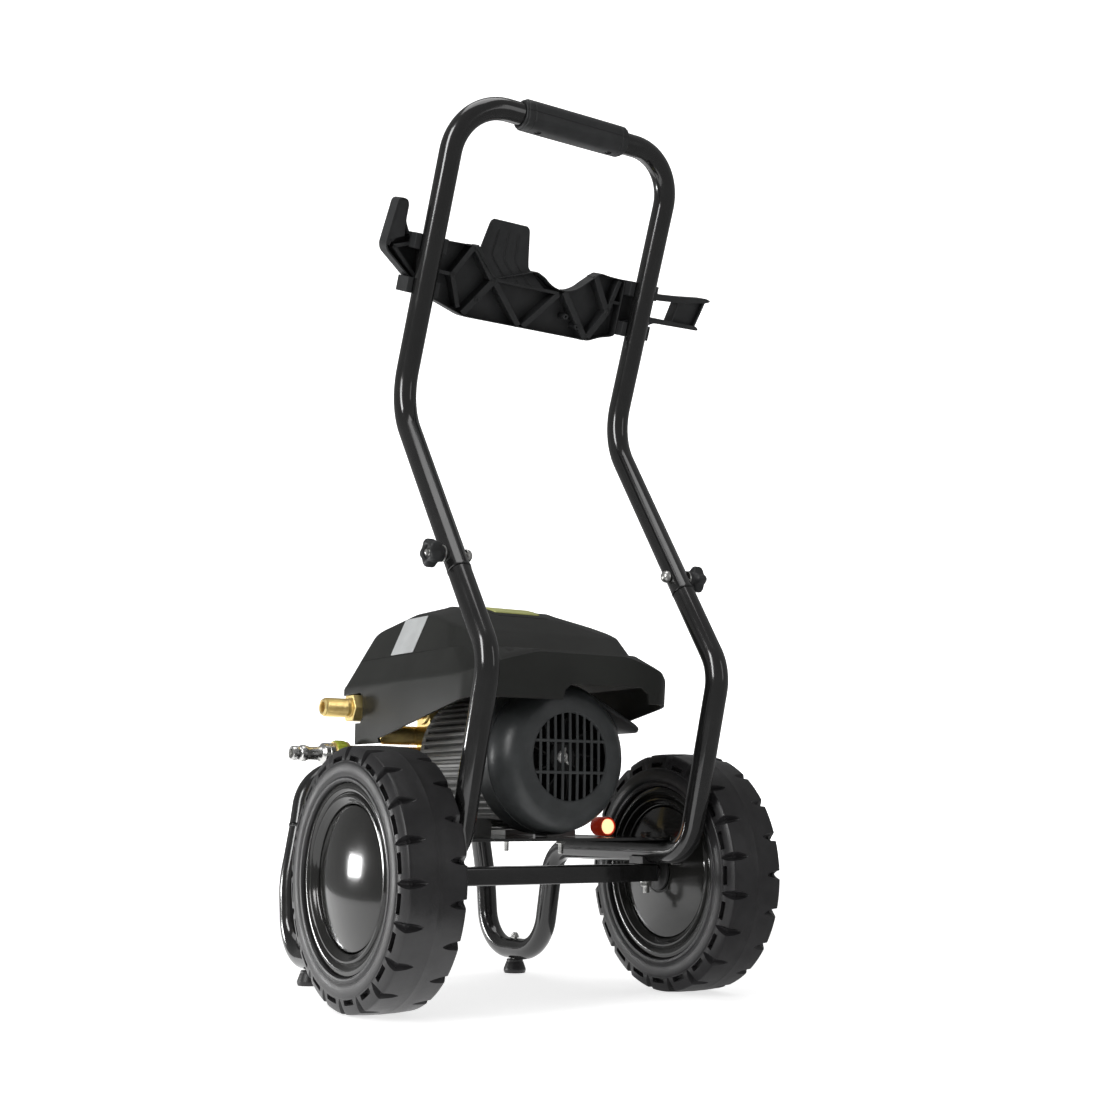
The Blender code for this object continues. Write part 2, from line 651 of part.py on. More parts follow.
def make_cooling_fan(finish, parent):
    """Hub with seven straight blades behind a back plate."""
    blades, sides = 7, 28
    bm = bmesh.new()
    hub = [(-0.046, 0.0072), (-0.046, 0.016), (-0.024, 0.016), (-0.024, 0.060), (-0.021, 0.060),
           (-0.021, 0.0072)]
    lathe(bm, hub, Y_AXIS, sides)
    fan = to_object("cooling_fan", bm, finish, parent, (0, 0, MOTOR_Z))
    for i in range(blades):
        turn = Matrix.Rotation(math.tau * i / blades, 3, "Y")

        def blade(made, turn=turn):
            corners = ((-0.0009, 0.014), (0.0009, 0.014), (0.0009, 0.058), (-0.0009, 0.058))
            loft(made, [[turn @ Vector((x, y, z)) for x, z in corners] for y in (-0.042, -0.022)])

        tool = cutter("cooling_fan_blade_%d" % (i + 1), blade, parent)
        tool.location = (0, 0, MOTOR_Z)
        cut(fan, tool, "UNION")
    return fan


def make_fan_cover(finish, parent):
    """Pressed cover with a bulging rear wall and a round grille of upright slots."""
    bulge_y, wall = -0.030, 0.002
    rear, radius = COVER_REAR_Y, COVER_R
    curve = [(bulge_y, radius), (-0.045, 0.0755), (-0.055, 0.063), (rear, 0.047), (rear, 0)]
    inside = [(rear + wall, 0), (rear + wall, 0.046), (-0.0535, 0.0612), (-0.0435, 0.0735),
              (bulge_y, radius - wall)]
    profile = [(COVER_FRONT_Y, radius)] + curve + inside + [(COVER_FRONT_Y, radius - wall)]
    cover = turned("fan_cover", profile, Y_AXIS, 32, finish, parent, (0, 0, MOTOR_Z))
    pitch, bar, reach = 0.0092, 0.0030, 0.0405
    for i in range(-4, 5):
        x = i * pitch
        half_z = math.sqrt(reach ** 2 - (abs(x) + bar) ** 2)

        def slot(bm, x=x, half_z=half_z):
            half_x = (pitch - bar) / 2
            corners = ((x - half_x, -half_z), (x + half_x, -half_z), (x + half_x, half_z),
                       (x - half_x, half_z))
            loft(bm, [[Vector((u, y, v)) for u, v in corners] for y in (rear - 0.01, rear + 0.008)])

        tool = cutter("fan_cover_slot_%d" % (i + 5), slot, parent)
        tool.location = (0, 0, MOTOR_Z)
        cut(cover, tool)
    return cover


def terminal_slab(name, half_along, low, high, y_span, corner, finish, parent):
    """Rounded block on the motor's right shoulder; low and high are measured from the motor axis."""
    tilt = Matrix.Rotation(TERMINAL_TILT, 3, "Y")
    along, up = tilt @ X_AXIS, tilt @ Z_AXIS
    centre = Vector((0, 0, MOTOR_Z)) + along * TERMINAL_MIDDLE
    outline = []
    for cx, cy, start in ((1, 1, 0), (-1, 1, 90), (-1, -1, 180), (1, -1, 270)):
        y = y_span[1] - corner if cy > 0 else y_span[0] + corner
        for i in range(4):
            a = math.radians(start + 30 * i)
            outline.append((cx * (half_along - corner) + corner * math.cos(a), y + corner * math.sin(a)))
    bm = bmesh.new()
    loft(bm, [[centre + along * u + Y_AXIS * y + up * lift for u, y in outline] for lift in (low, high)])
    return to_object(name, bm, finish, parent)


def make_terminal_box(finish, parent):
    box = terminal_slab("terminal_box", 0.047, 0.052, 0.0815, (0.016, 0.070), 0.008, finish, parent)
    relief = cutter("terminal_box_relief", lambda bm: loft(bm, [
        ring(Vector((0, y, MOTOR_Z)), X_AXIS, Z_AXIS, CASING_R + 0.0008, 48) for y in (-0.02, 0.14)]), parent)
    cut(box, relief)
    return box


def make_terminal_lid(finish, parent):
    return terminal_slab("terminal_box_lid", 0.0515, 0.0815 + GAP, 0.0872, (-0.022, 0.074), 0.012, finish,
                         parent)


def make_cable_gland(finish, parent):
    """Screwed cable entry on the front of the terminal box, open for the lead."""
    profile = [(0, 0.0045), (0, 0.0100), (0.006, 0.0100), (0.006, 0.0085), (0.016, 0.0085), (0.020, 0.0065),
               (0.020, 0.0045)]
    place = (0.104, 0.070 + GAP, 0.275)
    return turned("cable_gland", profile, Y_AXIS, 12, finish, parent, place)


def make_motor_bolt(name, x, y, finish, parent):
    """Foot bolt with its nut and plain shank end below the plate."""
    nut_z = PLATE_TOP - PLATE_THICK - GAP
    return headed_bolt(name, PLATE_TOP + 0.0103, 0.1495, 0.0030, 0.0055, 0.0045, nut_z, (x, y, 0), finish,
                       parent)


# ---------------------------------------------------------------- pump
def make_front_shield(finish, parent):
    profile = [(CASING_FRONT_Y + GAP, 0.0076), (CASING_FRONT_Y + GAP, 0.074), (0.133, 0.074),
               (0.133, 0.050), (0.137, 0.048), (0.137, 0.0076)]
    shield = turned("front_end_shield", profile, Y_AXIS, 24, finish, parent, (0, 0, MOTOR_Z))
    add_motor_feet(shield, MOTOR_BOLT_YS[1], (CASING_FRONT_Y + 0.001, 0.177), 0.031, parent)
    return shield


def make_crankcase(finish, parent):
    """Round pump body, open at the motor end, around the wobble plate."""
    profile = [(0.137 + GAP, 0.0440), (0.137 + GAP, 0.0500), (0.150, 0.0500), (0.163, 0.0460),
               (0.167, 0.0460), (0.167, 0.0120), (0.163, 0.0120), (0.163, 0.0400), (0.150, 0.0440)]
    return turned("pump_crankcase", profile, Y_AXIS, 24, finish, parent, (0, 0, MOTOR_Z))


def make_wobble_plate(finish, parent):
    """Slanted disc on the shaft that drives the plungers."""
    tilt = Matrix.Rotation(math.radians(7), 3, "X")
    axis = tilt @ Y_AXIS
    first, second = frame_axes(axis)
    bore_first, bore_second = frame_axes(Y_AXIS)
    centre = Y_AXIS * 0.1495
    rings = [ring(centre - axis * 0.0035, first, second, 0.034, 24),
             ring(centre + axis * 0.0035, first, second, 0.034, 24),
             ring(Y_AXIS * 0.1560, bore_first, bore_second, 0.0120, 24),
             ring(Y_AXIS * 0.1560, bore_first, bore_second, 0.0073, 24),
             ring(Y_AXIS * 0.1430, bore_first, bore_second, 0.0073, 24),
             ring(Y_AXIS * 0.1430, bore_first, bore_second, 0.0120, 24)]
    bm = bmesh.new()
    loops = [[bm.verts.new(point) for point in part] for part in rings]
    for low, high in zip(loops, loops[1:] + loops[:1]):
        for i in range(24):
            bm.faces.new((low[i], low[(i + 1) % 24], high[(i + 1) % 24], high[i]))
    return to_object("wobble_plate", bm, finish, parent, (0, 0, MOTOR_Z))


def make_pump_head(finish, parent):
    """Brass manifold across the front of the pump, with the water ports and bypass valve on its left."""
    head = block("pump_head", (-0.042, 0.167 + GAP, 0.222), (0.042, 0.204, 0.328), finish, parent, 0.004)
    valve = Vector((-0.036, PUMP_Y, BYPASS_Z))
    boss = cutter("bypass_valve_boss", lambda bm: loft(bm, [
        ring(valve - X_AXIS * reach, Y_AXIS, Z_AXIS, radius, 16)
        for reach, radius in ((0, 0.0108), (0.058, 0.0108), (0.065, 0.0085))]), parent)
    cut(head, boss, "UNION")
    return head


def make_outlet(finish, parent):
    """High-pressure outlet: hexagon body and M22 thread, open down the middle."""
    profile = [(0.042 + GAP, 0.0050), (0.042 + GAP, 0.0095), (0.120, 0.0095), (0.120, 0.0150),
               (0.139, 0.0150), (0.139, 0.0095), (0.142, 0.0095), (0.142, 0.0107), (0.170, 0.0107),
               (0.172, 0.0098), (0.172, 0.0050)]
    return turned("outlet_fitting", profile, -X_AXIS, 12, finish, parent, (0, PUMP_Y, OUTLET_Z))


def make_inlet(finish, parent):
    profile = [(0.042 + GAP, 0.0050), (0.042 + GAP, 0.0100), (0.140, 0.0100), (0.140, 0.0140),
               (0.158, 0.0140), (0.158, 0.0050)]
    return turned("inlet_fitting", profile, -X_AXIS, 12, finish, parent, (0, PUMP_Y, INLET_Z))


def make_inlet_coupling(finish, parent):
    """Snap-in hose tail on the water inlet, with its latching groove."""
    profile = [(0.158 + GAP, 0.0045), (0.158 + GAP, 0.0135), (0.171, 0.0135), (0.173, 0.0085),
               (0.180, 0.0072), (0.190, 0.0072), (0.193, 0.0088), (0.198, 0.0088), (0.2005, 0.0075),
               (0.2075, 0.0070), (0.2085, 0.0062), (0.2085, 0.0045)]
    return turned("inlet_coupling", profile, -X_AXIS, 12, finish, parent, (0, PUMP_Y, INLET_Z))


# ---------------------------------------------------------------- hood
def hood_plan(rear_y, front_y, half, height, rear_rise=0.0, front_drop=0.0):
    """One level of the hood, seen from above: chamfered behind, tapered to the nose in front."""
    shoulder_y = front_y - 0.055
    back, nose = height + rear_rise, height - front_drop
    return [Vector(point) for point in (
        (-half, rear_y + 0.030, height), (-half + 0.022, rear_y + 0.006, height), (0, rear_y, back),
        (half - 0.022, rear_y + 0.006, height), (half, rear_y + 0.030, height), (half, shoulder_y, height),
        (half - 0.026, front_y, nose), (0, front_y + 0.004, nose), (-half + 0.026, front_y, nose),
        (-half, shoulder_y, height))]


def bridge(bm, rings, closed):
    loops = [[bm.verts.new(point) for point in part] for part in rings]
    count = len(loops[0])
    following = loops[1:] + loops[:1] if closed else loops[1:]
    for low, high in zip(loops, following):
        for i in range(count):
            j = (i + 1) % count
            bm.faces.new((low[i], low[j], high[j], high[i]))
    return loops


def make_hood_shell(finish, parent):
    """Lower hood: two side panels, a rear wall and a nose, open below and above."""
    wall = HOOD_WALL
    bm = bmesh.new()
    bridge(bm, [
        hood_plan(-0.082, HOOD_FRONT_Y, HOOD_HALF_X, 0.270),
        hood_plan(-0.088, HOOD_FRONT_Y, HOOD_HALF_X, 0.340, 0.024, 0.006),
        hood_plan(-0.052, 0.222, 0.1180, HOOD_SPLIT_Z),
        hood_plan(-0.052 + wall, 0.222 - wall, 0.1180 - wall, HOOD_SPLIT_Z),
        hood_plan(-0.088 + wall, HOOD_FRONT_Y - wall, HOOD_HALF_X - wall, 0.338, 0.022, 0.006),
        hood_plan(-0.082 + wall, HOOD_FRONT_Y - wall, HOOD_HALF_X - wall, 0.270)], True)
    shell = to_object("hood_shell", bm, finish, parent)

    def lower_edge(made):
        outline = [(-0.20, 0.20), (0.084, 0.20), (0.128, 0.2755), (-0.060, 0.311), (-0.20, 0.311)]
        loft(made, [[Vector((x, y, z)) for y, z in outline] for x in (-0.3, 0.3)])

    def nose_edge(made):
        outline = [(0.206, 0.20), (0.30, 0.20), (0.30, 0.324), (0.210, 0.324)]
        loft(made, [[Vector((x, y, z)) for y, z in outline] for x in (-0.3, 0.3)])

    def outlet_notch(made):
        outline = [(PUMP_Y - 0.017, 0.294), (0.26, 0.294), (0.26, 0.328), (PUMP_Y - 0.017, 0.328)]
        loft(made, [[Vector((x, y, z)) for y, z in outline] for x in (-0.2, -0.1)])

    def lid_arch(made):
        outline = [(-0.028, 0.30), (0.092, 0.30), (0.086, 0.328), (-0.022, 0.328)]
        loft(made, [[Vector((x, y, z)) for x, z in outline] for y in (-0.12, -0.05)])

    for maker in (lower_edge, nose_edge, outlet_notch, lid_arch):
        cut(shell, cutter("hood_" + maker.__name__, maker, parent))
    return shell


def height_on(line, y):
    """Height of a broken line, given as (Y, Z) corners, above a place along the trolley."""
    for (y0, z0), (y1, z1) in zip(line, line[1:]):
        if y <= y1:
            return z0 + (z1 - z0) * (y - y0) / (y1 - y0)
    return line[-1][1]


def lean_x(z):
    """How far the leaning flanks of the upper hood are from the middle at a height."""
    return 0.1180 - 0.404 * (z - HOOD_SPLIT_Z)


def cap_ring(places):
    """Closed ring from its right half, given as (X, Y, Z) from the rear middle to the front middle."""
    right = [Vector(place) for place in places]
    return right + [Vector((-p.x, p.y, p.z)) for p in reversed(right[1:-1])]


def cap_levels(wall):
    """Base, roof edge and crown of the upper hood, moved inwards by a wall."""
    base_z = HOOD_SPLIT_Z + GAP
    base = [(x - wall if x else 0, y, base_z) for x, y in zip(
        (0, 0.096, 0.118, 0.118, 0.118, 0.118, 0.094, 0),
        (wall - 0.052, wall - 0.048, wall - 0.022, 0.050, 0.100, 0.167, 0.222 - wall, 0.226 - wall))]
    edge = []
    for inset, y in zip((None, 0.018, 0, 0, 0, 0, 0.022, None),
                        (wall - 0.006, wall - 0.002, 0.018, 0.050, 0.100, 0.155, 0.205 - wall, 0.209 - wall)):
        z = height_on(EDGE_LINE, y)
        edge.append((0 if inset is None else lean_x(z) - inset - wall, y, z - wall * 0.6))
    crown = [(x, y, height_on(CROWN_LINE, y) - wall) for x, y in zip(
        (0, 0.045, 0.055, 0.055, 0.055, 0.055, 0.045, 0), CROWN_YS)]
    return [cap_ring(level) for level in (base, edge, crown)]


def make_hood_cap(finish, parent):
    """Upper hood: leaning flanks, a roof highest above the pump end of the motor, open below."""
    bm = bmesh.new()
    outer, inner = cap_levels(0), cap_levels(HOOD_WALL)
    loops = bridge(bm, list(reversed(outer)) + inner, False)
    for crown in (loops[0], loops[-1]):
        count = len(crown)
        for i in range(count // 2):
            face = (crown[i], crown[i + 1], crown[count - i - 1], crown[(count - i) % count])
            bm.faces.new(list(dict.fromkeys(face)))
    return to_object("hood_cap", bm, finish, parent)


def make_hood_stripe(finish, parent):
    """Coloured strip let on to the crown of the hood, following its slope."""
    half, thick = 0.030, 0.0020
    bm = bmesh.new()
    loft(bm, [[Vector((x, y, height_on(CROWN_LINE, y) + lift)) for x, lift in (
        (-half, GAP), (half, GAP), (half - 0.002, GAP + thick), (-half + 0.002, GAP + thick))]
        for y in CROWN_YS[2:-2]])
    return to_object("hood_stripe", bm, finish, parent)


def make_rating_plate(finish, parent):
    """Blank plate on the left flank of the upper hood."""
    low_z, high_z = 0.3685, 0.4060
    foot, head = Vector((-lean_x(low_z), 0, low_z)), Vector((-lean_x(high_z), 0, high_z))
    up = (head - foot).normalized()
    outward = Vector((-up.z, 0, up.x))
    bm = bmesh.new()
    rings = []
    for lift in (GAP + 0.0001, GAP + 0.0009):
        low, high = foot + outward * lift, head + outward * lift
        rings.append([low + Y_AXIS * 0.068, low + Y_AXIS * 0.121, high + Y_AXIS * 0.125,
                      high + Y_AXIS * 0.073])
    loft(bm, rings)
    return to_object("rating_plate", bm, finish, parent)


def make_switch_knob(finish, parent):
    """Rotary on-off switch on the sloping nose; it turns about its own origin."""
    profile = [(0.0, 0), (0.0, 0.0190), (0.004, 0.0190), (0.006, 0.0160), (0.016, 0.0150), (0.018, 0.0130),
               (0.018, 0)]
    place = Vector((0.0, 0.2425, 0.335))
    knob = turned("main_switch_knob", profile, Y_AXIS, 16, finish, parent, place)
    return knob


# ---------------------------------------------------------------- pilot lamp
LAMP = Vector((0.0980, 0.018, PLATE_TOP + GAP + 0.0110))


def make_lamp(materials, parent):
    housing = [(-0.010, 0.0085), (-0.010, 0.0105), (0.010, 0.0105), (0.012, 0.0090), (0.012, 0),
               (-0.004, 0), (-0.004, 0.0085)]
    turned("pilot_lamp_housing", housing, Y_AXIS, 20, materials["lamp_red"], parent, LAMP)
    lens = [(-0.0120, 0), (-0.0115, 0.0050), (-0.0095, 0.0080), (-0.0043, 0.0080), (-0.0043, 0)]
    turned("pilot_lamp_lens", lens, Y_AXIS, 20, materials["lamp_amber"], parent, LAMP)


# ---------------------------------------------------------------- assembly
def build_frame(finishes, origin):
    paint, steel, plastic = finishes["frame_paint"], finishes["steel"], finishes["black_plastic"]
    for side, word in ((-1, "left"), (1, "right")):
        make_frame_tube(side, word + "_frame_tube", paint, origin)
        make_saddle(side, word + "_saddle", plastic, origin)
        make_foot(side, word + "_foot", finishes["rubber"], origin)
        make_foot_bolt(side, word + "_foot_bolt", steel, origin)
        headed_bolt(word + "_frame_bolt", PLATE_TOP + GAP, 0.107, 0.004, 0.0065, 0.005, BEAM_BOTTOM - GAP,
                    (side * TUBE_X, 0, 0), steel, origin)
    make_front_crossbar(paint, origin)
    make_axle_beam(paint, origin)
    make_wheel_axle(steel, origin)
    make_base_plate(paint, origin)


def build_handle(finishes, origin):
    paint, steel, plastic = finishes["frame_paint"], finishes["steel"], finishes["black_plastic"]
    make_handle_tube(paint, origin)
    make_grip_half("grip_upper", True, plastic, origin)
    make_grip_half("grip_lower", False, plastic, origin)
    make_tool_holder(plastic, origin)
    make_lance_hook(plastic, origin)
    make_cable_hook(plastic, origin)
    for side, word in ((-1, "left"), (1, "right")):
        make_clamp_bolt(side, word + "_clamp_bolt", steel, origin)
        make_clamp_knob(side, word + "_clamp_knob", plastic, origin)


def build_wheels(finishes, origin):
    for side, word in ((-1, "left"), (1, "right")):
        make_tyre(side, word + "_tyre", finishes["rubber"], origin)
        make_rim(side, word + "_rim", finishes["rim_paint"], origin)
        make_hub(side, word + "_hub", finishes["nylon"], origin)
        make_dome(side, word + "_wheel_dome", finishes["rim_paint"], origin)


def build_motor(finishes, origin):
    make_motor_casing(finishes["aluminium"], origin)
    make_stator(finishes["copper"], origin)
    make_rotor(finishes["iron"], origin)
    make_cooling_fan(finishes["black_plastic"], origin)
    rear = [(-0.0125, 0.0076), (-0.0125, 0.0180), (-0.004, 0.0200), (-0.004, 0.0740), (0.0005, 0.0740),
            (0.0005, 0.0076)]
    turned("rear_end_shield", rear, Y_AXIS, 24, finishes["aluminium"], origin, (0, 0, MOTOR_Z))
    make_front_shield(finishes["aluminium"], origin)
    make_fan_cover(finishes["black_plastic"], origin)
    make_terminal_box(finishes["black_plastic"], origin)
    make_terminal_lid(finishes["black_plastic"], origin)
    make_cable_gland(finishes["black_plastic"], origin)
    for side, word in ((-1, "left"), (1, "right")):
        for y, place in zip(MOTOR_BOLT_YS, ("rear", "front")):
            name = "%s_%s_motor_bolt" % (word, place)
            make_motor_bolt(name, side * MOTOR_BOLT_X, y, finishes["steel"], origin)


def build_pump(finishes, origin):
    brass = finishes["brass"]
    make_crankcase(finishes["aluminium"], origin)
    make_wobble_plate(finishes["steel"], origin)
    make_pump_head(brass, origin)
    make_outlet(brass, origin)
    make_inlet(brass, origin)
    make_inlet_coupling(finishes["steel"], origin)


def build_hood(finishes, origin):
    make_hood_shell(finishes["hood_plastic"], origin)
    make_hood_cap(finishes["hood_plastic"], origin)
    make_hood_stripe(finishes["stripe"], origin)
    make_rating_plate(finishes["label"], origin)
    make_switch_knob(finishes["black_plastic"], origin)
    make_lamp(finishes, origin)


def main():
    clear_scene()
    finishes = make_materials()
    origin = bpy.data.objects.new("trolley_origin", None)
    bpy.context.scene.collection.objects.link(origin)
    origin.location = (*AXLE_SHIFT, -GROUND_Z)
    build_frame(finishes, origin)
    build_handle(finishes, origin)
    build_wheels(finishes, origin)
    build_motor(finishes, origin)
    build_pump(finishes, origin)
    build_hood(finishes, origin)


main()
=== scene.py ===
"""Looks of the electric pressure washer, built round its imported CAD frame.

Every piece is drawn from the wheel axle: Y = 0 below it, the ground at GROUND_Z, +X to the operator's
right, +Y the way the trolley is pushed. ORIGIN then puts each piece in the frame.
"""

import json
import math

import bmesh
import bpy
from mathutils import Matrix, Vector, noise


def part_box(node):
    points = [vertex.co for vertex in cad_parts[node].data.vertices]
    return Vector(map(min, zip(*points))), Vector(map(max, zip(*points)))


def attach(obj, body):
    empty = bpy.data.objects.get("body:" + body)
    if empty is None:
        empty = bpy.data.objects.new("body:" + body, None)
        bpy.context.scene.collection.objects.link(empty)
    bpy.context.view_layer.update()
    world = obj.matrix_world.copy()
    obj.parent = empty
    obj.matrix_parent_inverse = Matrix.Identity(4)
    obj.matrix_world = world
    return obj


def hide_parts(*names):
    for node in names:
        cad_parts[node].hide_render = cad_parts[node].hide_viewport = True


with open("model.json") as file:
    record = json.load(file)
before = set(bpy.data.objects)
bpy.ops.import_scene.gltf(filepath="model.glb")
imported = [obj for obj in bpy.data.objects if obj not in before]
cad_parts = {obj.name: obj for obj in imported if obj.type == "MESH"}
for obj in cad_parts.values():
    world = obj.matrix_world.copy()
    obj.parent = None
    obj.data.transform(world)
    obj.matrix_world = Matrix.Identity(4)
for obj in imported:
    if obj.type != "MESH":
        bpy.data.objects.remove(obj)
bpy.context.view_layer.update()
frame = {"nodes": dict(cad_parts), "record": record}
AXLE_LOW, AXLE_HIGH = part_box("wheel_axle")
AXLE_Z = 0.1300
GROUND_Z = -0.0020                # the tyres and feet stand here
ORIGIN = (AXLE_LOW + AXLE_HIGH) / 2 - Vector((0, 0, AXLE_Z))

# ---------------------------------------------------------------- driving dimensions
TUBE_R = 0.0125
TUBE_X = 0.144
SPIGOT_R = 0.0106
SPIGOT_LENGTH = 0.052
SOCKET_R = 0.0111
SOCKET_DEPTH = 0.060
HANDLE_TOP = Vector((0, -0.061, 0.952))
FORWARD_KINK = Vector((0, 0.062, 0.6386))
HANDLE_JOINT = Vector((0, -0.072, 0.437))
REAR_KINK = Vector((0, -0.1325, 0.3464))
RAIL_Z = 0.1530
RAIL_REAR_Y = -0.0765
LEG_FRONT = Vector((0.1255, 0.334, 0.178))
LEG_BOTTOM_Z = 0.0275
CROSSBAR_Z = 0.243
CROSSBAR_LEAN = 0.006
FOOT_PLACE = Vector((0.1395, 0.2665, 0))
WHEEL_R = 0.1320
WHEEL_X = 0.1955
AXLE_R = 0.0070
FRAME_BOLT_HOLE_R = 0.0044
PLATE_TOP = 0.1688
PLATE_THICK = 0.003
PLATE_HALF_X = 0.150
PLATE_REAR_Y = -0.047
PLATE_FRONT_Y = 0.270
BEAM_TOP = 0.1390
BEAM_BOTTOM = 0.1198
BEAM_HALF_Y = 0.0125
BEAM_HALF_X = 0.152
MOTOR_Z = 0.2535
MOTOR_BOLT_X = 0.0625
MOTOR_BOLT_HOLE_R = 0.0036
MOTOR_FEET = {                    # bolt place, rear and front edge along Y, height
    "rear": (0.050, 0.038, 0.062, 0.020),
    "front": (0.165, 0.125, 0.177, 0.031),
}
TERMINAL_TILT = math.radians(27)
TERMINAL_MIDDLE = 0.0445
PUMP_Y = 0.183
OUTLET_Z = 0.311
BYPASS_Z = 0.282
INLET_Z = 0.259
VALVES = ((-0.020, 0.306), (0.020, 0.306), (0.0, 0.272), (-0.020, 0.240), (0.020, 0.240))
KNOB_RISE = 0.022
KNOB_SIDES = 90
GRIP_SCREW_XS = (-0.0460, 0.0495)
HOOD_WALL = 0.003
CAP_BASE_Z = 0.3663
CAP_STEPS = 5                     # facets round a corner of the upper hood
EDGE_LINE = ((-0.030, 0.3840), (0.000, 0.3900), (0.018, 0.3970), (0.050, 0.4070), (0.100, 0.4130),
             (0.155, 0.4040), (0.209, 0.3930))
CROWN_YS = (0.030, 0.033, 0.045, 0.070, 0.100, 0.130, 0.160, 0.163)
CROWN_LINE = ((0.030, 0.4085), (0.045, 0.4135), (0.070, 0.4210), (0.100, 0.4250), (0.130, 0.4210),
              (0.163, 0.4125))
LAMP = Vector((0.0980, 0.018, 0.1801))

X_AXIS, Y_AXIS, Z_AXIS = Vector((1, 0, 0)), Vector((0, 1, 0)), Vector((0, 0, 1))
JOIN = (FORWARD_KINK - HANDLE_JOINT).normalized()
SIDES = ((-1, "left"), (1, "right"))
FINE = 48                         # facets around a round piece
STEP = 4                          # degrees between the rings of a bend


# ---------------------------------------------------------------- materials
def mixed(nodes, links, source, low, high):
    """A number that runs from low to high as the source runs over the middle of its range."""
    span = nodes.new("ShaderNodeMapRange")
    span.inputs["From Min"].default_value = 0.35
    span.inputs["From Max"].default_value = 0.65
    span.inputs["To Min"].default_value = low
    span.inputs["To Max"].default_value = high
    links.new(source, span.inputs["Value"])
    return span.outputs["Result"]


def noise_of(nodes, links, where, scale, detail=4.0):
    made = nodes.new("ShaderNodeTexNoise")
    made.inputs["Scale"].default_value = scale
    made.inputs["Detail"].default_value = detail
    links.new(where, made.inputs["Vector"])
    return made.outputs["Fac"]


def surface(name, colour, roughness, metallic=0.0, ior=1.5, coat=0.0, grain=(900, 0.15), cloud=(25, 0.05),
            tone=0.12, glow=None, sheen=0.0, brushed=None):
    """Finish whose roughness and tone wander slowly and whose surface has a fine grain."""
    made = bpy.data.materials.new(name)
    made.use_nodes = True
    nodes, links = made.node_tree.nodes, made.node_tree.links
    shader = nodes["Principled BSDF"]
    place = nodes.new("ShaderNodeTexCoord").outputs["Object"]
    slow = noise_of(nodes, links, place, cloud[0])
    wander = mixed(nodes, links, slow, roughness - cloud[1], roughness + cloud[1])
    links.new(wander, shader.inputs["Roughness"])
    shade = nodes.new("ShaderNodeMix")
    shade.data_type = "RGBA"
    shade.inputs["A"].default_value = (*[c * (1 - tone) for c in colour], 1)
    shade.inputs["B"].default_value = (*[min(1.0, c * (1 + tone)) for c in colour], 1)
    patches = noise_of(nodes, links, place, cloud[0] * 2.3)
    links.new(mixed(nodes, links, patches, 0.0, 1.0), shade.inputs["Factor"])
    links.new(shade.outputs["Result"], shader.inputs["Base Color"])
    where = place
    if brushed:
        stretch = nodes.new("ShaderNodeMapping")
        stretch.inputs["Scale"].default_value = brushed
        links.new(place, stretch.inputs["Vector"])
        where = stretch.outputs["Vector"]
    bump = nodes.new("ShaderNodeBump")
    bump.inputs["Strength"].default_value = grain[1]
    bump.inputs["Distance"].default_value = 0.0004
    links.new(noise_of(nodes, links, where, grain[0], 2.0), bump.inputs["Height"])
    links.new(bump.outputs["Normal"], shader.inputs["Normal"])
    shader.inputs["Metallic"].default_value = metallic
    shader.inputs["IOR"].default_value = ior
    shader.inputs["Coat Weight"].default_value = coat
    shader.inputs["Coat Roughness"].default_value = 0.06
    shader.inputs["Sheen Weight"].default_value = sheen
    shader.inputs["Sheen Roughness"].default_value = 0.4
    if glow:
        shader.inputs["Emission Color"].default_value = (*glow[:3], 1)
        shader.inputs["Emission Strength"].default_value = glow[3]
    return made


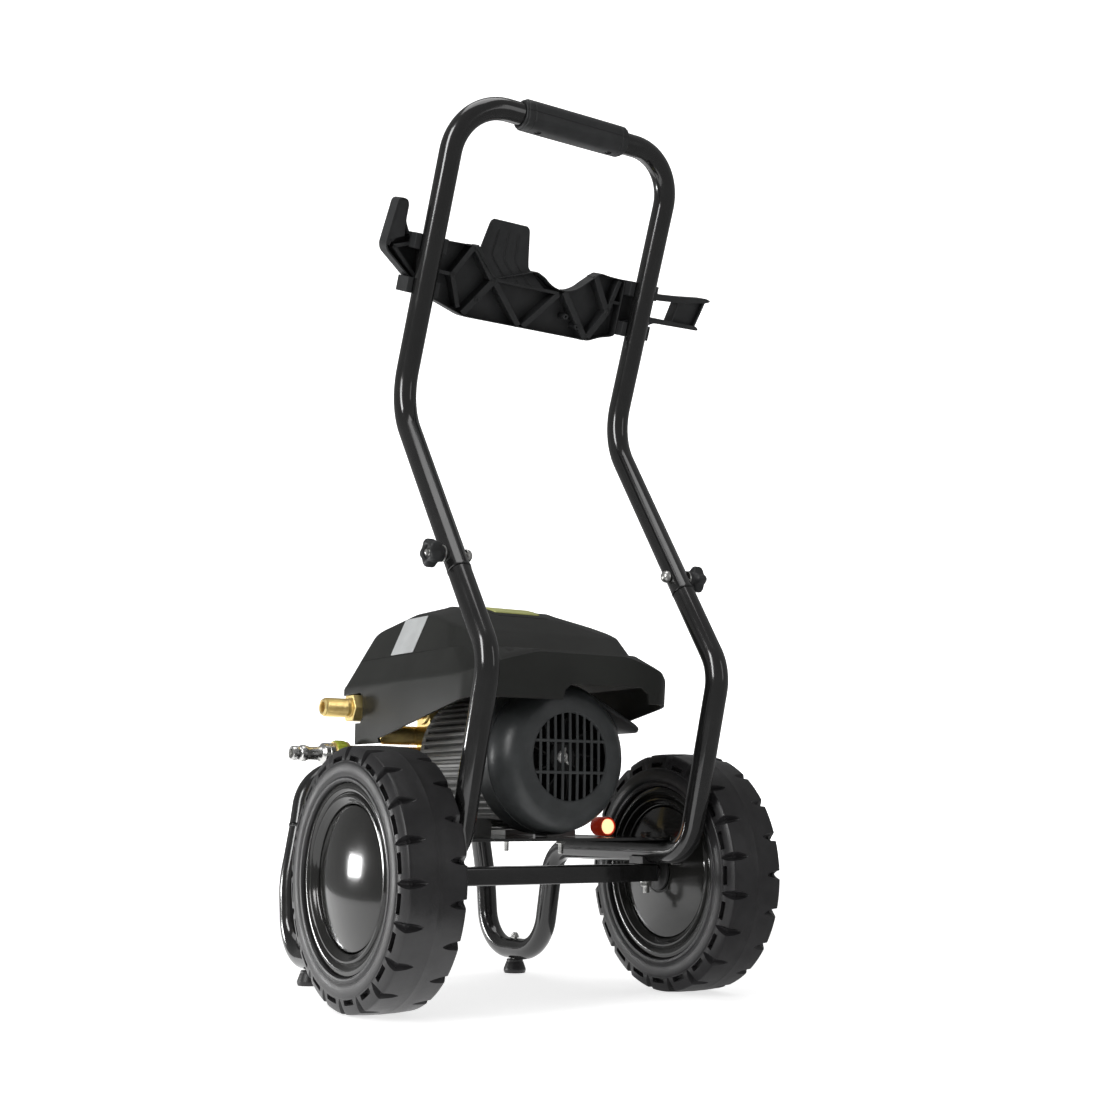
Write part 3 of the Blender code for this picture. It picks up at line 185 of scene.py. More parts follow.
FINISHES = {
    "frame_paint": surface("frame_paint", (0.010, 0.010, 0.010), 0.16, ior=1.6, coat=0.5, grain=(620, 0.03)),
    "black_plastic": surface("black_plastic", (0.032, 0.033, 0.034), 0.44, ior=1.42, grain=(1500, 0.25)),
    "cover_plastic": surface("cover_plastic", (0.044, 0.047, 0.048), 0.33, ior=1.42, grain=(1700, 0.20)),
    "hood_plastic": surface("hood_plastic", (0.017, 0.018, 0.016), 0.48, ior=1.42, grain=(1900, 0.30),
                            cloud=(9, 0.04)),
    "stripe": surface("stripe", (0.66, 0.68, 0.22), 0.40, grain=(900, 0.08), tone=0.04),
    "label": surface("label", (0.54, 0.555, 0.555), 0.42, grain=(2500, 0.12), tone=0.05),
    "rubber": surface("rubber", (0.015, 0.0145, 0.0155), 0.36, ior=1.52, grain=(1300, 0.35), sheen=0.05,
                      tone=0.2),
    "rim_paint": surface("rim_paint", (0.014, 0.014, 0.013), 0.14, ior=1.5, coat=0.35, grain=(120, 0.05),
                         cloud=(12, 0.04)),
    "nylon": surface("nylon", (0.018, 0.018, 0.018), 0.42, grain=(1200, 0.2)),
    "fan_plastic": surface("fan_plastic", (0.008, 0.008, 0.008), 0.62, grain=(1200, 0.2)),
    "steel": surface("steel", (0.72, 0.72, 0.70), 0.28, metallic=1.0, grain=(1400, 0.10), tone=0.08),
    "aluminium": surface("aluminium", (0.26, 0.26, 0.255), 0.46, metallic=0.25, grain=(1300, 0.35)),
    "iron": surface("iron", (0.20, 0.20, 0.21), 0.45, metallic=0.9, grain=(500, 0.3)),
    "copper": surface("copper", (0.50, 0.22, 0.10), 0.35, metallic=0.8, grain=(500, 0.5), brushed=(1, 6, 1)),
    "brass": surface("brass", (0.95, 0.72, 0.30), 0.36, metallic=0.80, grain=(1100, 0.15), tone=0.1),
    "lamp_red": surface("lamp_red", (0.50, 0.030, 0.012), 0.22, grain=(600, 0.05),
                        glow=(1.0, 0.06, 0.02, 0.12)),
    "lamp_amber": surface("lamp_amber", (0.90, 0.50, 0.22), 0.15, grain=(600, 0.05),
                          glow=(1.0, 0.60, 0.32, 1.6)),
    "filter": surface("filter", (0.45, 0.52, 0.05), 0.35, grain=(700, 0.1)),
}


# ---------------------------------------------------------------- shape tools
def made_from(name, bm, smooth=32):
    """Object of a finished bmesh, placed in the frame, its faces smooth up to an angle."""
    bmesh.ops.remove_doubles(bm, verts=bm.verts, dist=1e-6)
    bmesh.ops.recalc_face_normals(bm, faces=bm.faces)
    mesh = bpy.data.meshes.new(name)
    bm.to_mesh(mesh)
    bm.free()
    mesh.shade_smooth()
    mesh.set_sharp_from_angle(angle=math.radians(smooth))
    made = bpy.data.objects.new(name, mesh)
    bpy.context.scene.collection.objects.link(made)
    made.location = ORIGIN
    return made


def bake(made):
    """Settle the modifiers into the mesh."""
    graph = bpy.context.evaluated_depsgraph_get()
    mesh = bpy.data.meshes.new_from_object(made.evaluated_get(graph))
    made.modifiers.clear()
    made.data = mesh


def carve(made, *tools, operation="DIFFERENCE", smooth=32):
    """Cut closed shapes out of a piece, or join them to it."""
    cutters = [made_from("tool", bm) for bm in tools]
    for tool in cutters:
        change = made.modifiers.new("cut", "BOOLEAN")
        change.operation = operation
        change.object = tool
        change.solver = "EXACT"
    bake(made)
    for tool in cutters:
        bpy.data.objects.remove(tool, do_unlink=True)
    made.data.shade_smooth()
    made.data.set_sharp_from_angle(angle=math.radians(smooth))


def soften(made, width, segments=2, angle=30):
    """Round the edges that are sharper than an angle."""
    bevel = made.modifiers.new("soft", "BEVEL")
    bevel.width = width
    bevel.segments = segments
    bevel.limit_method = "ANGLE"
    bevel.angle_limit = math.radians(angle)
    bevel.harden_normals = True
    bake(made)


def show(made, finish, body, node=None):
    """Give a piece its finish and its body, and hide the CAD node that it replaces, if any."""
    made.data.materials.clear()
    made.data.materials.append(FINISHES[finish])
    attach(made, body)
    if node:
        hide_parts(node)


def frame_axes(direction):
    """Two directions square to a given one and to each other."""
    side = Z_AXIS if abs(direction.z) < 0.9 else Y_AXIS
    first = direction.cross(side).normalized()
    return first, direction.cross(first).normalized()


def skin(bm, rings, closed=False, caps=True):
    """Faces between neighbouring rings of equal length; returns the rings as vertices."""
    loops = [[bm.verts.new(point) for point in part] for part in rings]
    count = len(loops[0])
    following = loops[1:] + loops[:1] if closed else loops[1:]
    for low, high in zip(loops, following):
        for i in range(count):
            j = (i + 1) % count
            bm.faces.new((low[i], low[j], high[j], high[i]))
    if caps and not closed:
        bm.faces.new(list(reversed(loops[0])))
        bm.faces.new(loops[-1])
    return loops


def skinned(name, rings, smooth=32, closed=False):
    """Object that is one skin over rings of points."""
    bm = bmesh.new()
    skin(bm, rings, closed)
    return made_from(name, bm, smooth)


def ring(centre, first, second, radius, sides=FINE):
    turns = (math.tau * i / sides for i in range(sides))
    return [centre + radius * (first * math.cos(a) + second * math.sin(a)) for a in turns]


def turn(bm, profile, axis, place=(0, 0, 0), sides=FINE):
    """Turn an outline, given as (distance along axis, radius), about an axis; ends on the axis close it."""
    first, second = frame_axes(axis)
    place = Vector(place)
    rings = [ring(place + axis * along, first, second, max(radius, 1e-5), sides) for along, radius in profile]
    hollow = profile[0][1] > 1e-4 and profile[-1][1] > 1e-4
    skin(bm, rings, closed=hollow, caps=not hollow)


def turned(name, profile, axis, place=(0, 0, 0), sides=FINE, smooth=32):
    bm = bmesh.new()
    turn(bm, profile, axis, place, sides)
    return made_from(name, bm, smooth)


def rounded_outline(points, radius, steps=4):
    """Polygon with each corner drawn as a small curve that takes at most 0.45 of each side."""
    curved = []
    for before, corner, after in zip(points[-1:] + points[:-1], points, points[1:] + points[:1]):
        back, ahead = before - corner, after - corner
        start = corner + back * min(0.45, radius / back.length)
        end = corner + ahead * min(0.45, radius / ahead.length)
        for i in range(steps + 1):
            t = i / steps
            curved.append(start * (1 - t) ** 2 + corner * 2 * t * (1 - t) + end * t ** 2)
    return curved


def prism(bm, outline, lift):
    """Closed solid between a ring of points and the same ring moved by lift."""
    skin(bm, [outline, [point + lift for point in outline]])


def box(bm, low, high):
    """Plain block between two corners."""
    corners = [Vector((x, y, low[2])) for x, y in (
        (low[0], low[1]), (high[0], low[1]), (high[0], high[1]), (low[0], high[1]))]
    skin(bm, [corners, [Vector((c.x, c.y, high[2])) for c in corners]])


def rod(bm, start, end, radius, sides=24):
    """Plain cylinder from start to end."""
    length = (end - start).length
    turn(bm, [(0, 0), (0, radius), (length, radius), (length, 0)], (end - start).normalized(), start, sides)


def drill(place, axis, low, high, radius, sides=24):
    """Cutter for a round hole between two distances along an axis."""
    tool = bmesh.new()
    rod(tool, place + axis * low, place + axis * high, radius, sides)
    return tool


def cutter(outline, lift):
    """Cutter with a flat outline, given as places, that reaches as far as lift."""
    tool = bmesh.new()
    prism(tool, [Vector(point) for point in outline], lift)
    return tool


def hexagon(bm, place, axis, low, high, across):
    """Six-sided head or nut between two heights, its ends chamfered round."""
    first, second = frame_axes(axis)
    corner, chamfer = across / math.sqrt(3), 0.0007
    stations = ((low, corner * 0.90), (low + chamfer, corner), (high - chamfer, corner),
                (high, corner * 0.90))
    skin(bm, [ring(place + axis * along, first, second, radius, 6) for along, radius in stations])


def bored_hexagon(bm, place, axis, stations, bore):
    """Six-sided nut with a hole through it; a station is (distance along axis, corner radius)."""
    first, second = frame_axes(axis)
    ends = [(stations[-1][0], bore), (stations[0][0], bore)]
    skin(bm, [ring(place + axis * along, first, second, r, 6) for along, r in [*stations, *ends]],
         closed=True)


def ribs_round(bm, place, axis, lift, foot, tip, count, start=0.0):
    """Ribs that stand out round an axis; foot and tip are (radius, half width)."""
    first, second = frame_axes(axis)
    corners = ((foot[0], -foot[1]), foot, tip, (tip[0], -tip[1]))
    for i in range(count):
        a = start + math.tau * i / count
        out = first * math.cos(a) + second * math.sin(a)
        across = out.cross(axis)
        prism(bm, [place + out * r + across * w for r, w in corners], axis * lift)


def thread(bm, place, axis, low, high, radius, pitch, depth, bore=0.0, sides=36, per_turn=6):
    """Helical thread between two heights, bored through if a bore is given."""
    first, second = frame_axes(axis)
    rows = int((high - low) / pitch * per_turn)
    rings = []
    for row in range(rows + 1):
        along = low + (high - low) * row / rows
        points = []
        for i in range(sides):
            a = math.tau * i / sides
            phase = (along / pitch - i / sides) % 1.0
            r = radius - depth * (1 - abs(2 * phase - 1))
            r -= max(0.0, 1 - min(along - low, high - along) / pitch) * depth
            points.append(place + axis * along + r * (first * math.cos(a) + second * math.sin(a)))
        rings.append(points)
    if bore:
        rings.append(ring(place + axis * high, first, second, bore, sides))
        rings.append(ring(place + axis * low, first, second, bore, sides))
        skin(bm, rings, closed=True)
    else:
        skin(bm, rings)


def rounded_path(corners):
    """Points along a bent tube's centre line; each corner is (place, bend radius)."""
    points = [corners[0][0]]
    for (before, _), (corner, radius), (after, _) in zip(corners, corners[1:], corners[2:]):
        arrive, leave = (corner - before).normalized(), (after - corner).normalized()
        angle = arrive.angle(leave)
        start = corner - arrive * radius * math.tan(angle / 2)
        bend_axis = arrive.cross(leave).normalized()
        centre = start + bend_axis.cross(arrive) * radius
        steps = max(2, round(math.degrees(angle) / STEP))
        for i in range(steps + 1):
            points.append(centre + Matrix.Rotation(angle * i / steps, 3, bend_axis) @ (start - centre))
    points.append(corners[-1][0])
    return points


def sweep_rings(points, radii):
    """Rings square to a path, turned as little as possible from one to the next."""
    heading = (points[1] - points[0]).normalized()
    first = heading.cross(X_AXIS).normalized() if abs(heading.x) < 0.9 else Y_AXIS.copy()
    rings = []
    for i, point in enumerate(points):
        ahead = (points[min(i + 1, len(points) - 1)] - point).normalized()
        behind = (point - points[max(i - 1, 0)]).normalized()
        heading = (ahead + behind).normalized()
        first = (first - heading * first.dot(heading)).normalized()
        rings.append(ring(point, first, heading.cross(first), radii[i]))
    return rings


def side_point(side, point, x=TUBE_X):
    return Vector((side * x, point.y, point.z))


def clamp_point(side):
    return side_point(side, HANDLE_JOINT + JOIN * KNOB_RISE)


def weld_bead(bm, centre, direction, radius):
    """Rippled bead of weld round a tube."""
    first, second = frame_axes(direction)
    width, ripples, around, across = 0.0022, 34, 136, 8
    rings = []
    for i in range(around):
        a = math.tau * i / around
        out = first * math.cos(a) + second * math.sin(a)
        swell = width * (0.85 + 0.15 * math.sin(ripples * a) + 0.15 * noise.noise(out * 3))
        rings.append([centre + out * (radius + swell * 0.75 * math.cos(b)) + direction * swell * math.sin(b)
                      for b in (math.tau * k / across for k in range(across))])
    skin(bm, rings, closed=True)


# ---------------------------------------------------------------- frame
def leg_corners(side):
    """Bends of a frame tube from the handle joint to the front of its leg, each (place, bend radius)."""
    return [
        (side_point(side, HANDLE_JOINT), 0),
        (side_point(side, REAR_KINK), 0.050),
        (Vector((side * TUBE_X, RAIL_REAR_Y, RAIL_Z)), 0.042),
        (Vector((side * TUBE_X, 0.185, RAIL_Z)), 0.040),
        (Vector((side * 0.142, 0.209, LEG_BOTTOM_Z)), 0.050),
        (Vector((side * 0.137, 0.324, LEG_BOTTOM_Z)), 0.050),
        (Vector((side * 0.137, LEG_FRONT.y, 0.110)), 0.150),
        (Vector((side * LEG_FRONT.x, LEG_FRONT.y, LEG_FRONT.z)), 0),
    ]


def frame_tube(side, word):
    """Bent tube with its reduced, slotted end and the weld bead at its front end."""
    top = side_point(side, HANDLE_JOINT + JOIN * SPIGOT_LENGTH)
    foot = side_point(side, HANDLE_JOINT)
    path = rounded_path(leg_corners(side))
    points = [top, top - JOIN * 0.001, foot + JOIN * 0.0008, foot, foot - JOIN * 0.0010] + path[1:]
    radii = [SPIGOT_R - 0.0008, SPIGOT_R, SPIGOT_R, TUBE_R - 0.0009, TUBE_R] + [TUBE_R] * (len(path) - 1)
    tube = skinned(word + "_tube", sweep_rings(points, radii))
    low, high = HANDLE_JOINT + JOIN * (KNOB_RISE - 0.0048), HANDLE_JOINT + JOIN * (SPIGOT_LENGTH + 0.01)
    wide = JOIN.cross(X_AXIS).normalized() * 0.0043
    slot = cutter([side_point(1, corner, side * (TUBE_X - 0.02)) for corner in (
        low - wide, low + wide, high + wide, high - wide)], X_AXIS * side * 0.04)
    carve(tube, slot, drill(Vector((side * TUBE_X, 0, RAIL_Z)), Z_AXIS, -0.03, 0.03, FRAME_BOLT_HOLE_R))
    show(tube, "frame_paint", "frame", word + "_frame_tube")
    bead = bmesh.new()
    weld_bead(bead, Vector((side * LEG_FRONT.x, LEG_FRONT.y, LEG_FRONT.z + 0.0006)), Z_AXIS, TUBE_R - 0.0004)
    show(made_from(word + "_tube_weld", bead), "frame_paint", "frame")


def front_bar():
    """Low hoop that joins the fronts of both legs."""
    end = Vector((LEG_FRONT.x, LEG_FRONT.y, LEG_FRONT.z + 0.0012))
    bend = Vector((LEG_FRONT.x - 0.011, LEG_FRONT.y + CROSSBAR_LEAN, CROSSBAR_Z))
    left_end, left_bend = side_point(-1, end, end.x), side_point(-1, bend, bend.x)
    path = rounded_path([(left_end, 0), (left_bend, 0.050), (bend, 0.050), (end, 0)])
    show(skinned("front_bar", sweep_rings(path, [TUBE_R] * len(path))), "frame_paint", "frame",
         "front_crossbar")


def axle_beam():
    """Rolled box section, open at both ends."""
    middle, half_z, wall, corner = (BEAM_TOP + BEAM_BOTTOM) / 2, (BEAM_TOP - BEAM_BOTTOM) / 2, 0.0015, 0.0028
    rings = []
    for x, trim in ((-BEAM_HALF_X, 0.0003), (-BEAM_HALF_X + 0.0004, 0), (BEAM_HALF_X - 0.0004, 0),
                    (BEAM_HALF_X, 0.0003), (BEAM_HALF_X, wall), (-BEAM_HALF_X, wall)):
        y, z = BEAM_HALF_Y - trim, half_z - trim
        square = [Vector((x, sy * y, middle + sz * z)) for sy, sz in ((-1, -1), (1, -1), (1, 1), (-1, 1))]
        rings.append(rounded_outline(square, corner, 6))
    show(skinned("beam", rings, closed=True), "frame_paint", "frame", "axle_beam")


def wheel_axle():
    """Bar through both wheels, with a ring groove and a washer outside each hub."""
    reach, groove = WHEEL_X + 0.012, AXLE_R - 0.0008
    ends = ((WHEEL_X + 0.0100, AXLE_R), (WHEEL_X + 0.0102, groove), (WHEEL_X + 0.0112, groove),
            (WHEEL_X + 0.0114, AXLE_R))
    profile = [(-reach, 0), (-reach, AXLE_R - 0.001), (-reach + 0.001, AXLE_R)]
    for side in (-1, 1):
        profile += sorted((side * along, radius) for along, radius in ends)
    profile += [(reach - 0.0003, AXLE_R - 0.0004), (reach, 0)]
    show(turned("axle", profile, X_AXIS, (0, 0, AXLE_Z)), "steel", "frame", "wheel_axle")
    washers = bmesh.new()
    for side in (-1, 1):
        near, far = side * (WHEEL_X + 0.0097), side * (WHEEL_X + 0.0112)
        turn(washers, [(near, AXLE_R), (near, 0.0125), (far, 0.0125), (far, AXLE_R)], X_AXIS, (0, 0, AXLE_Z))
    show(made_from("axle_washers", washers), "steel", "frame")


def base_plate():
    """Pressed plate with rolled edges and two shallow stiffening beads."""
    square = [Vector((x, y, PLATE_TOP - PLATE_THICK)) for x, y in (
        (PLATE_HALF_X, PLATE_FRONT_Y), (-PLATE_HALF_X, PLATE_FRONT_Y), (-PLATE_HALF_X, PLATE_REAR_Y),
        (PLATE_HALF_X, PLATE_REAR_Y))]
    bm = bmesh.new()
    prism(bm, rounded_outline(square, 0.014, 8), Z_AXIS * PLATE_THICK)
    plate = made_from("plate", bm)
    cuts = []
    for x in (-MOTOR_BOLT_X, MOTOR_BOLT_X):
        for y, *_ in MOTOR_FEET.values():
            cuts.append(drill(Vector((x, y, PLATE_TOP)), Z_AXIS, -0.01, 0.01, MOTOR_BOLT_HOLE_R))
    for x in (-0.105, 0.105):
        bead = [Vector((x + u, y, PLATE_TOP - 0.0006)) for u, y in (
            (0.006, 0.215), (-0.006, 0.215), (-0.006, 0.03), (0.006, 0.03))]
        cuts.append(cutter(rounded_outline(bead, 0.006, 6), Z_AXIS * 0.01))
    for x in (-TUBE_X, TUBE_X):
        cuts.append(drill(Vector((x, 0, PLATE_TOP)), Z_AXIS, -0.01, 0.01, FRAME_BOLT_HOLE_R))
    carve(plate, *cuts)
    soften(plate, 0.0007)
    show(plate, "frame_paint", "frame", "base_plate")


def hex_bolt(name, place, top, head_low, across, shank_r, bottom, nut_high, nut_low, node, washer_r):
    """Upright bolt: chamfered head, threaded shank, washer and nut."""
    bm = bmesh.new()
    place = Vector(place)
    hexagon(bm, place, Z_AXIS, head_low, top, across)
    thread(bm, place, Z_AXIS, bottom, nut_high + 0.0002, shank_r, 0.00125, 0.0004, sides=24)
    rod(bm, place + Z_AXIS * nut_high, place + Z_AXIS * (head_low + 0.0002), shank_r)
    hexagon(bm, place, Z_AXIS, nut_low, nut_high - 0.0008, across)
    nut_top = nut_high - 0.0008
    turn(bm, [(nut_top, shank_r), (nut_top, washer_r), (nut_high, washer_r), (nut_high, shank_r)], Z_AXIS,
         place, 32)
    show(made_from(name, bm), "steel", "frame", node)


def frame_fixings(side, word):
    """Saddle and bolt that hold the plate on a rail, and the rubber foot under the leg."""
    hex_bolt(word + "_beam_bolt", (side * TUBE_X, 0, 0), PLATE_TOP + 0.0053, PLATE_TOP + 0.0003, 0.0115,
             0.0038, 0.107, BEAM_BOTTOM - 0.0003, 0.1142, word + "_frame_bolt", 0.0069)
    bm = bmesh.new()
    box(bm, (side * TUBE_X - 0.014, -BEAM_HALF_Y, BEAM_TOP + 0.0003),
        (side * TUBE_X + 0.014, BEAM_HALF_Y, RAIL_Z - 0.0055))
    saddle = made_from(word + "_saddle_block", bm)
    middle = Vector((side * TUBE_X, 0, RAIL_Z))
    carve(saddle, drill(middle, Y_AXIS, -0.03, 0.03, TUBE_R + 0.0003, FINE),
          drill(middle, Z_AXIS, -0.03, 0, FRAME_BOLT_HOLE_R))
    soften(saddle, 0.0008)
    show(saddle, "nylon", "frame", word + "_saddle")
    place = Vector((side * FOOT_PLACE.x, FOOT_PLACE.y, 0))
    top = LEG_BOTTOM_Z - TUBE_R - 0.0003
    profile = [(GROUND_Z, 0.0085), (GROUND_Z, 0.0128), (0.0002, 0.0137), (0.0022, 0.0139), (0.0036, 0.0136),
               (top - 0.0034, 0.0108), (top - 0.0030, 0.0102), (top - 0.0006, 0.0101), (top, 0.0094),
               (top, 0.0034), (0.0045, 0.0034), (0.0045, 0.0075), (0.0004, 0.0078)]
    show(turned(word + "_foot_pad", profile, Z_AXIS, place), "rubber", "frame", word + "_foot")
    high = LEG_BOTTOM_Z + TUBE_R
    bolt = bmesh.new()
    turn(bolt, [(high + 0.0006, 0), (high + 0.0006, 0.0062), (high + 0.0012, 0.0064), (high + 0.0014, 0.0040),
                (high + 0.0052, 0.0038), (high + 0.0066, 0.0026), (high + 0.0070, 0)], Z_AXIS, place, 32)
    hexagon(bolt, place, Z_AXIS, high + 0.0010, high + 0.0042, 0.0092)
    rod(bolt, place + Z_AXIS * 0.0034, place + Z_AXIS * (high + 0.001), 0.0029)
    turn(bolt, [(0.0014, 0), (0.0014, 0.0060), (0.0030, 0.0064), (0.0042, 0.0050), (0.0042, 0)], Z_AXIS,
         place, 32)
    show(made_from(word + "_foot_screw", bolt), "steel", "frame", word + "_foot_bolt")


# ---------------------------------------------------------------- handle
def socket_mouth(centre, rim, radius):
    """Ring of the bore inside a ring of the handle tube."""
    return [centre.lerp(point, SOCKET_R / radius) for point in rim]


def handle_tube():
    """Tall hoop, bored at both feet for the frame tubes, its lips rolled slightly outwards."""
    start = HANDLE_JOINT + JOIN * 0.0003
    corners = [(side_point(-1, start), 0), (side_point(-1, FORWARD_KINK), 0.075),
               (side_point(-1, HANDLE_TOP), 0.058), (side_point(1, HANDLE_TOP), 0.058),
               (side_point(1, FORWARD_KINK), 0.075), (side_point(1, start), 0)]
    path = rounded_path(corners)
    lip = [JOIN * rise for rise in (0.0006, 0.0030, 0.0042)]
    left_lip = [path[0] + rise for rise in lip]
    right_lip = [path[-1] + rise for rise in reversed(lip)]
    points = [path[0], *left_lip, *path[1:-1], *right_lip, path[-1]]
    lip_radii = [TUBE_R - 0.0003, TUBE_R + 0.0004, TUBE_R + 0.0004, TUBE_R]
    radii = lip_radii + [TUBE_R] * (len(path) - 2) + list(reversed(lip_radii))
    rings = sweep_rings(points, radii)
    deep = JOIN * SOCKET_DEPTH
    left, right = (socket_mouth(points[end], rings[end], radii[end]) for end in (0, -1))
    rings = [[p + deep for p in left], left] + rings + [right, [p + deep for p in right]]
    tube = skinned("handle_hoop", rings)
    carve(tube, *[drill(clamp_point(side), X_AXIS, -0.025, 0.025, 0.0043) for side, _ in SIDES])
    show(tube, "frame_paint", "handle", "handle_tube")


def grip_section(x, radius, sign):
    """Half ring of the grip, nearly square outside and round inside; sign 1 is the upper half."""
    steps, inside = 26, TUBE_R + 0.0003
    outer, inner = [], []
    for i in range(steps + 1):
        a = math.pi * i / steps
        c, s = math.cos(a), math.sin(a)
        square = radius / (abs(c) ** 3.0 + abs(s) ** 3.0) ** (1 / 3.0)
        reach = radius + (square - radius) * 0.75
        outer.append(Vector((x, -c * reach, sign * (s * reach + 0.0002))))
        inner.append(Vector((x, -c * inside, sign * (s * inside + 0.0002))))
    return [HANDLE_TOP + p for p in outer + list(reversed(inner))]


def grip_half(name, sign, node):
    """Half of the hand grip: a rounded box section with stepped ends and soft ribs."""
    stations = [(0.0685, 0.0142), (0.0681, 0.0147), (0.0660, 0.0149), (0.0656, 0.0158), (0.0648, 0.0162),
                (0.0592, 0.0163), (0.0588, 0.0159), (0.0576, 0.0159), (0.0572, 0.0163), (0.0300, 0.0164)]
    spans = [(-x, r) for x, r in stations] + [(x, r) for x, r in reversed(stations)]
    half = skinned(name, [grip_section(x, r, sign) for x, r in spans])
    if sign < 0:
        carve(half, *[drill(HANDLE_TOP + X_AXIS * x, -Z_AXIS, 0.0150, 0.03, 0.0040) for x in GRIP_SCREW_XS])
    show(half, "black_plastic", "handle", node)


def grip_screws():
    screws = bmesh.new()
    for x in GRIP_SCREW_XS:
        head = [(-0.0148, 0), (-0.0148, 0.0034), (-0.0154, 0.0032), (-0.0160, 0.0020), (-0.0162, 0.0012),
                (-0.0152, 0.0012), (-0.0152, 0)]
        turn(screws, head, Z_AXIS, HANDLE_TOP + X_AXIS * x, 24)
    show(made_from("grip_screws", screws), "nylon", "handle")


HOLDER_DOWN = (FORWARD_KINK - HANDLE_TOP).normalized()
HOLDER_FORWARD = -HOLDER_DOWN.cross(X_AXIS).normalized()
HOLDER_DEPTH = 0.018
HOLDER_HUBS = ((-0.1048, 0.1856), (-0.0515, 0.1835), (0.1079, 0.1909))
TAB_THICK = 0.0030


def holder_point(u, s, back=0.0):
    """Place on the tool holder: u across, s down along the tubes, back forward from its rear face."""
    return HANDLE_TOP + X_AXIS * u + HOLDER_DOWN * s + HOLDER_FORWARD * (TUBE_R + 0.001 + back)


def inset(outline, by):
    """Closed (u, s) outline moved inwards by a distance."""
    area = sum(a[0] * b[1] - b[0] * a[1] for a, b in zip(outline, outline[1:] + outline[:1]))
    inward = by if area > 0 else -by
    moved = []
    for before, here, after in zip(outline[-1:] + outline[:-1], outline, outline[1:] + outline[:1]):
        one = Vector((here[0] - before[0], here[1] - before[1])).normalized()
        two = Vector((after[0] - here[0], after[1] - here[1])).normalized()
        mean = Vector((-one.y - two.y, one.x + two.x))
        step = mean * (inward / 2 / max(0.35, mean.length_squared / 2))
        moved.append((here[0] + step.x, here[1] + step.y))
    return moved


def tray(bm, outline, wall, floor):
    """Open tray: a floor at the front and a wall along the outline towards the rear."""
    inner = inset(outline, wall)
    rings = [[holder_point(u, s, b) for u, s in shape] for shape, b in (
        (outline, HOLDER_DEPTH), (outline, 0.0), (inner, 0.0), (inner, HOLDER_DEPTH - floor))]
    skin(bm, rings)


def rib(bm, start, end, width, rear):
    """Upright rib of the tray between two (u, s) places, from rear to just short of the tray's front."""
    a, b = Vector(start), Vector(end)
    across = (b - a).normalized()
    across = Vector((-across.y, across.x)) * width / 2
    outline = [a - across, b - across, b + across, a + across]
    prism(bm, [holder_point(p.x, p.y, rear) for p in outline], HOLDER_FORWARD * (HOLDER_DEPTH - 0.001 - rear))


def smooth_outline(points, radius):
    """Flat (u, s) outline with its corners rounded."""
    flat = rounded_outline([Vector((u, s, 0)) for u, s in points], radius, 3)
    return [(p.x, p.y) for p in flat]


def tool_holder():
    """Ribbed tray in front of the tubes: finger tab, round saddle, zig-zag ribs and tube clips."""
    sag = []
    for degrees in range(48, 146, 7):
        a = math.radians(degrees)
        sag.append((0.040 - 0.038 * math.cos(a), 0.139 + 0.038 * math.sin(a)))
    outline = [(-0.124, 0.1505), (-0.0838, 0.1490), (-0.0765, 0.1545), (-0.0720, 0.1600), (-0.0515, 0.1795),
               (0.0010, 0.1620), *sag, (0.0868, 0.1480), (0.1000, 0.1495), (0.124, 0.1500), (0.124, 0.2165),
               (0.1168, 0.2190), (0.1040, 0.2220), (0.0877, 0.2287), (-0.0815, 0.2290), (-0.1184, 0.2180),
               (-0.124, 0.2165)]
    left, middle, right = HOLDER_HUBS
    bm = bmesh.new()
    tray(bm, smooth_outline(outline, 0.004), 0.0026, 0.0032)
    ribs = (((-0.0838, 0.1500), left, 0.00650), ((-0.0820, 0.1500), middle, 0.00780),
            (middle, (-0.0832, 0.2260), 0.00780), ((-0.0500, 0.1835), (-0.0080, 0.2270), 0.00676),
            ((-0.0024, 0.2270), (0.0370, 0.1820), 0.00676), ((0.0440, 0.1780), (0.0850, 0.2270), 0.00754),
            ((0.0870, 0.2250), right, 0.00780), ((0.0815, 0.1520), right, 0.00728),
            ((0.1168, 0.1520), right, 0.00572), (left, (-0.0900, 0.2200), 0.00546),
            ((-0.1220, 0.1850), left, 0.00442), ((-0.0515, 0.1815), (0.0370, 0.1815), 0.00390),
            ((0.1079, 0.1780), (0.1230, 0.1780), 0.00390))
    for start, end, width in ribs:
        rib(bm, start, end, width, rear=0.0014)
    for u, s in (*HOLDER_HUBS, (-0.0685, 0.2070), (0.0700, 0.2150), (0.0520, 0.2060)):
        turn(bm, [(0.0006, 0.0012), (0.0006, 0.0030), (0.0012, 0.0034), (HOLDER_DEPTH - 0.002, 0.0036),
                  (HOLDER_DEPTH - 0.002, 0.0012)], HOLDER_FORWARD, holder_point(u, s), 24)
    finger_tab(bm)
    for side, _ in SIDES:
        for s in (0.158, 0.206):
            tube_clip(bm, side * TUBE_X, s)
    holder = made_from("lance_tray", bm, 25)
    soften(holder, 0.0006, 2, 40)
    show(holder, "black_plastic", "handle", "tool_holder")
    screws = bmesh.new()
    for u, s in HOLDER_HUBS:
        head = [(0.0004, 0), (0.0002, 0.0016), (0.0006, 0.0021), (0.0020, 0.0021), (0.0020, 0)]
        turn(screws, head, HOLDER_FORWARD, holder_point(u, s), 20)
    show(made_from("holder_screws", screws), "nylon", "handle")


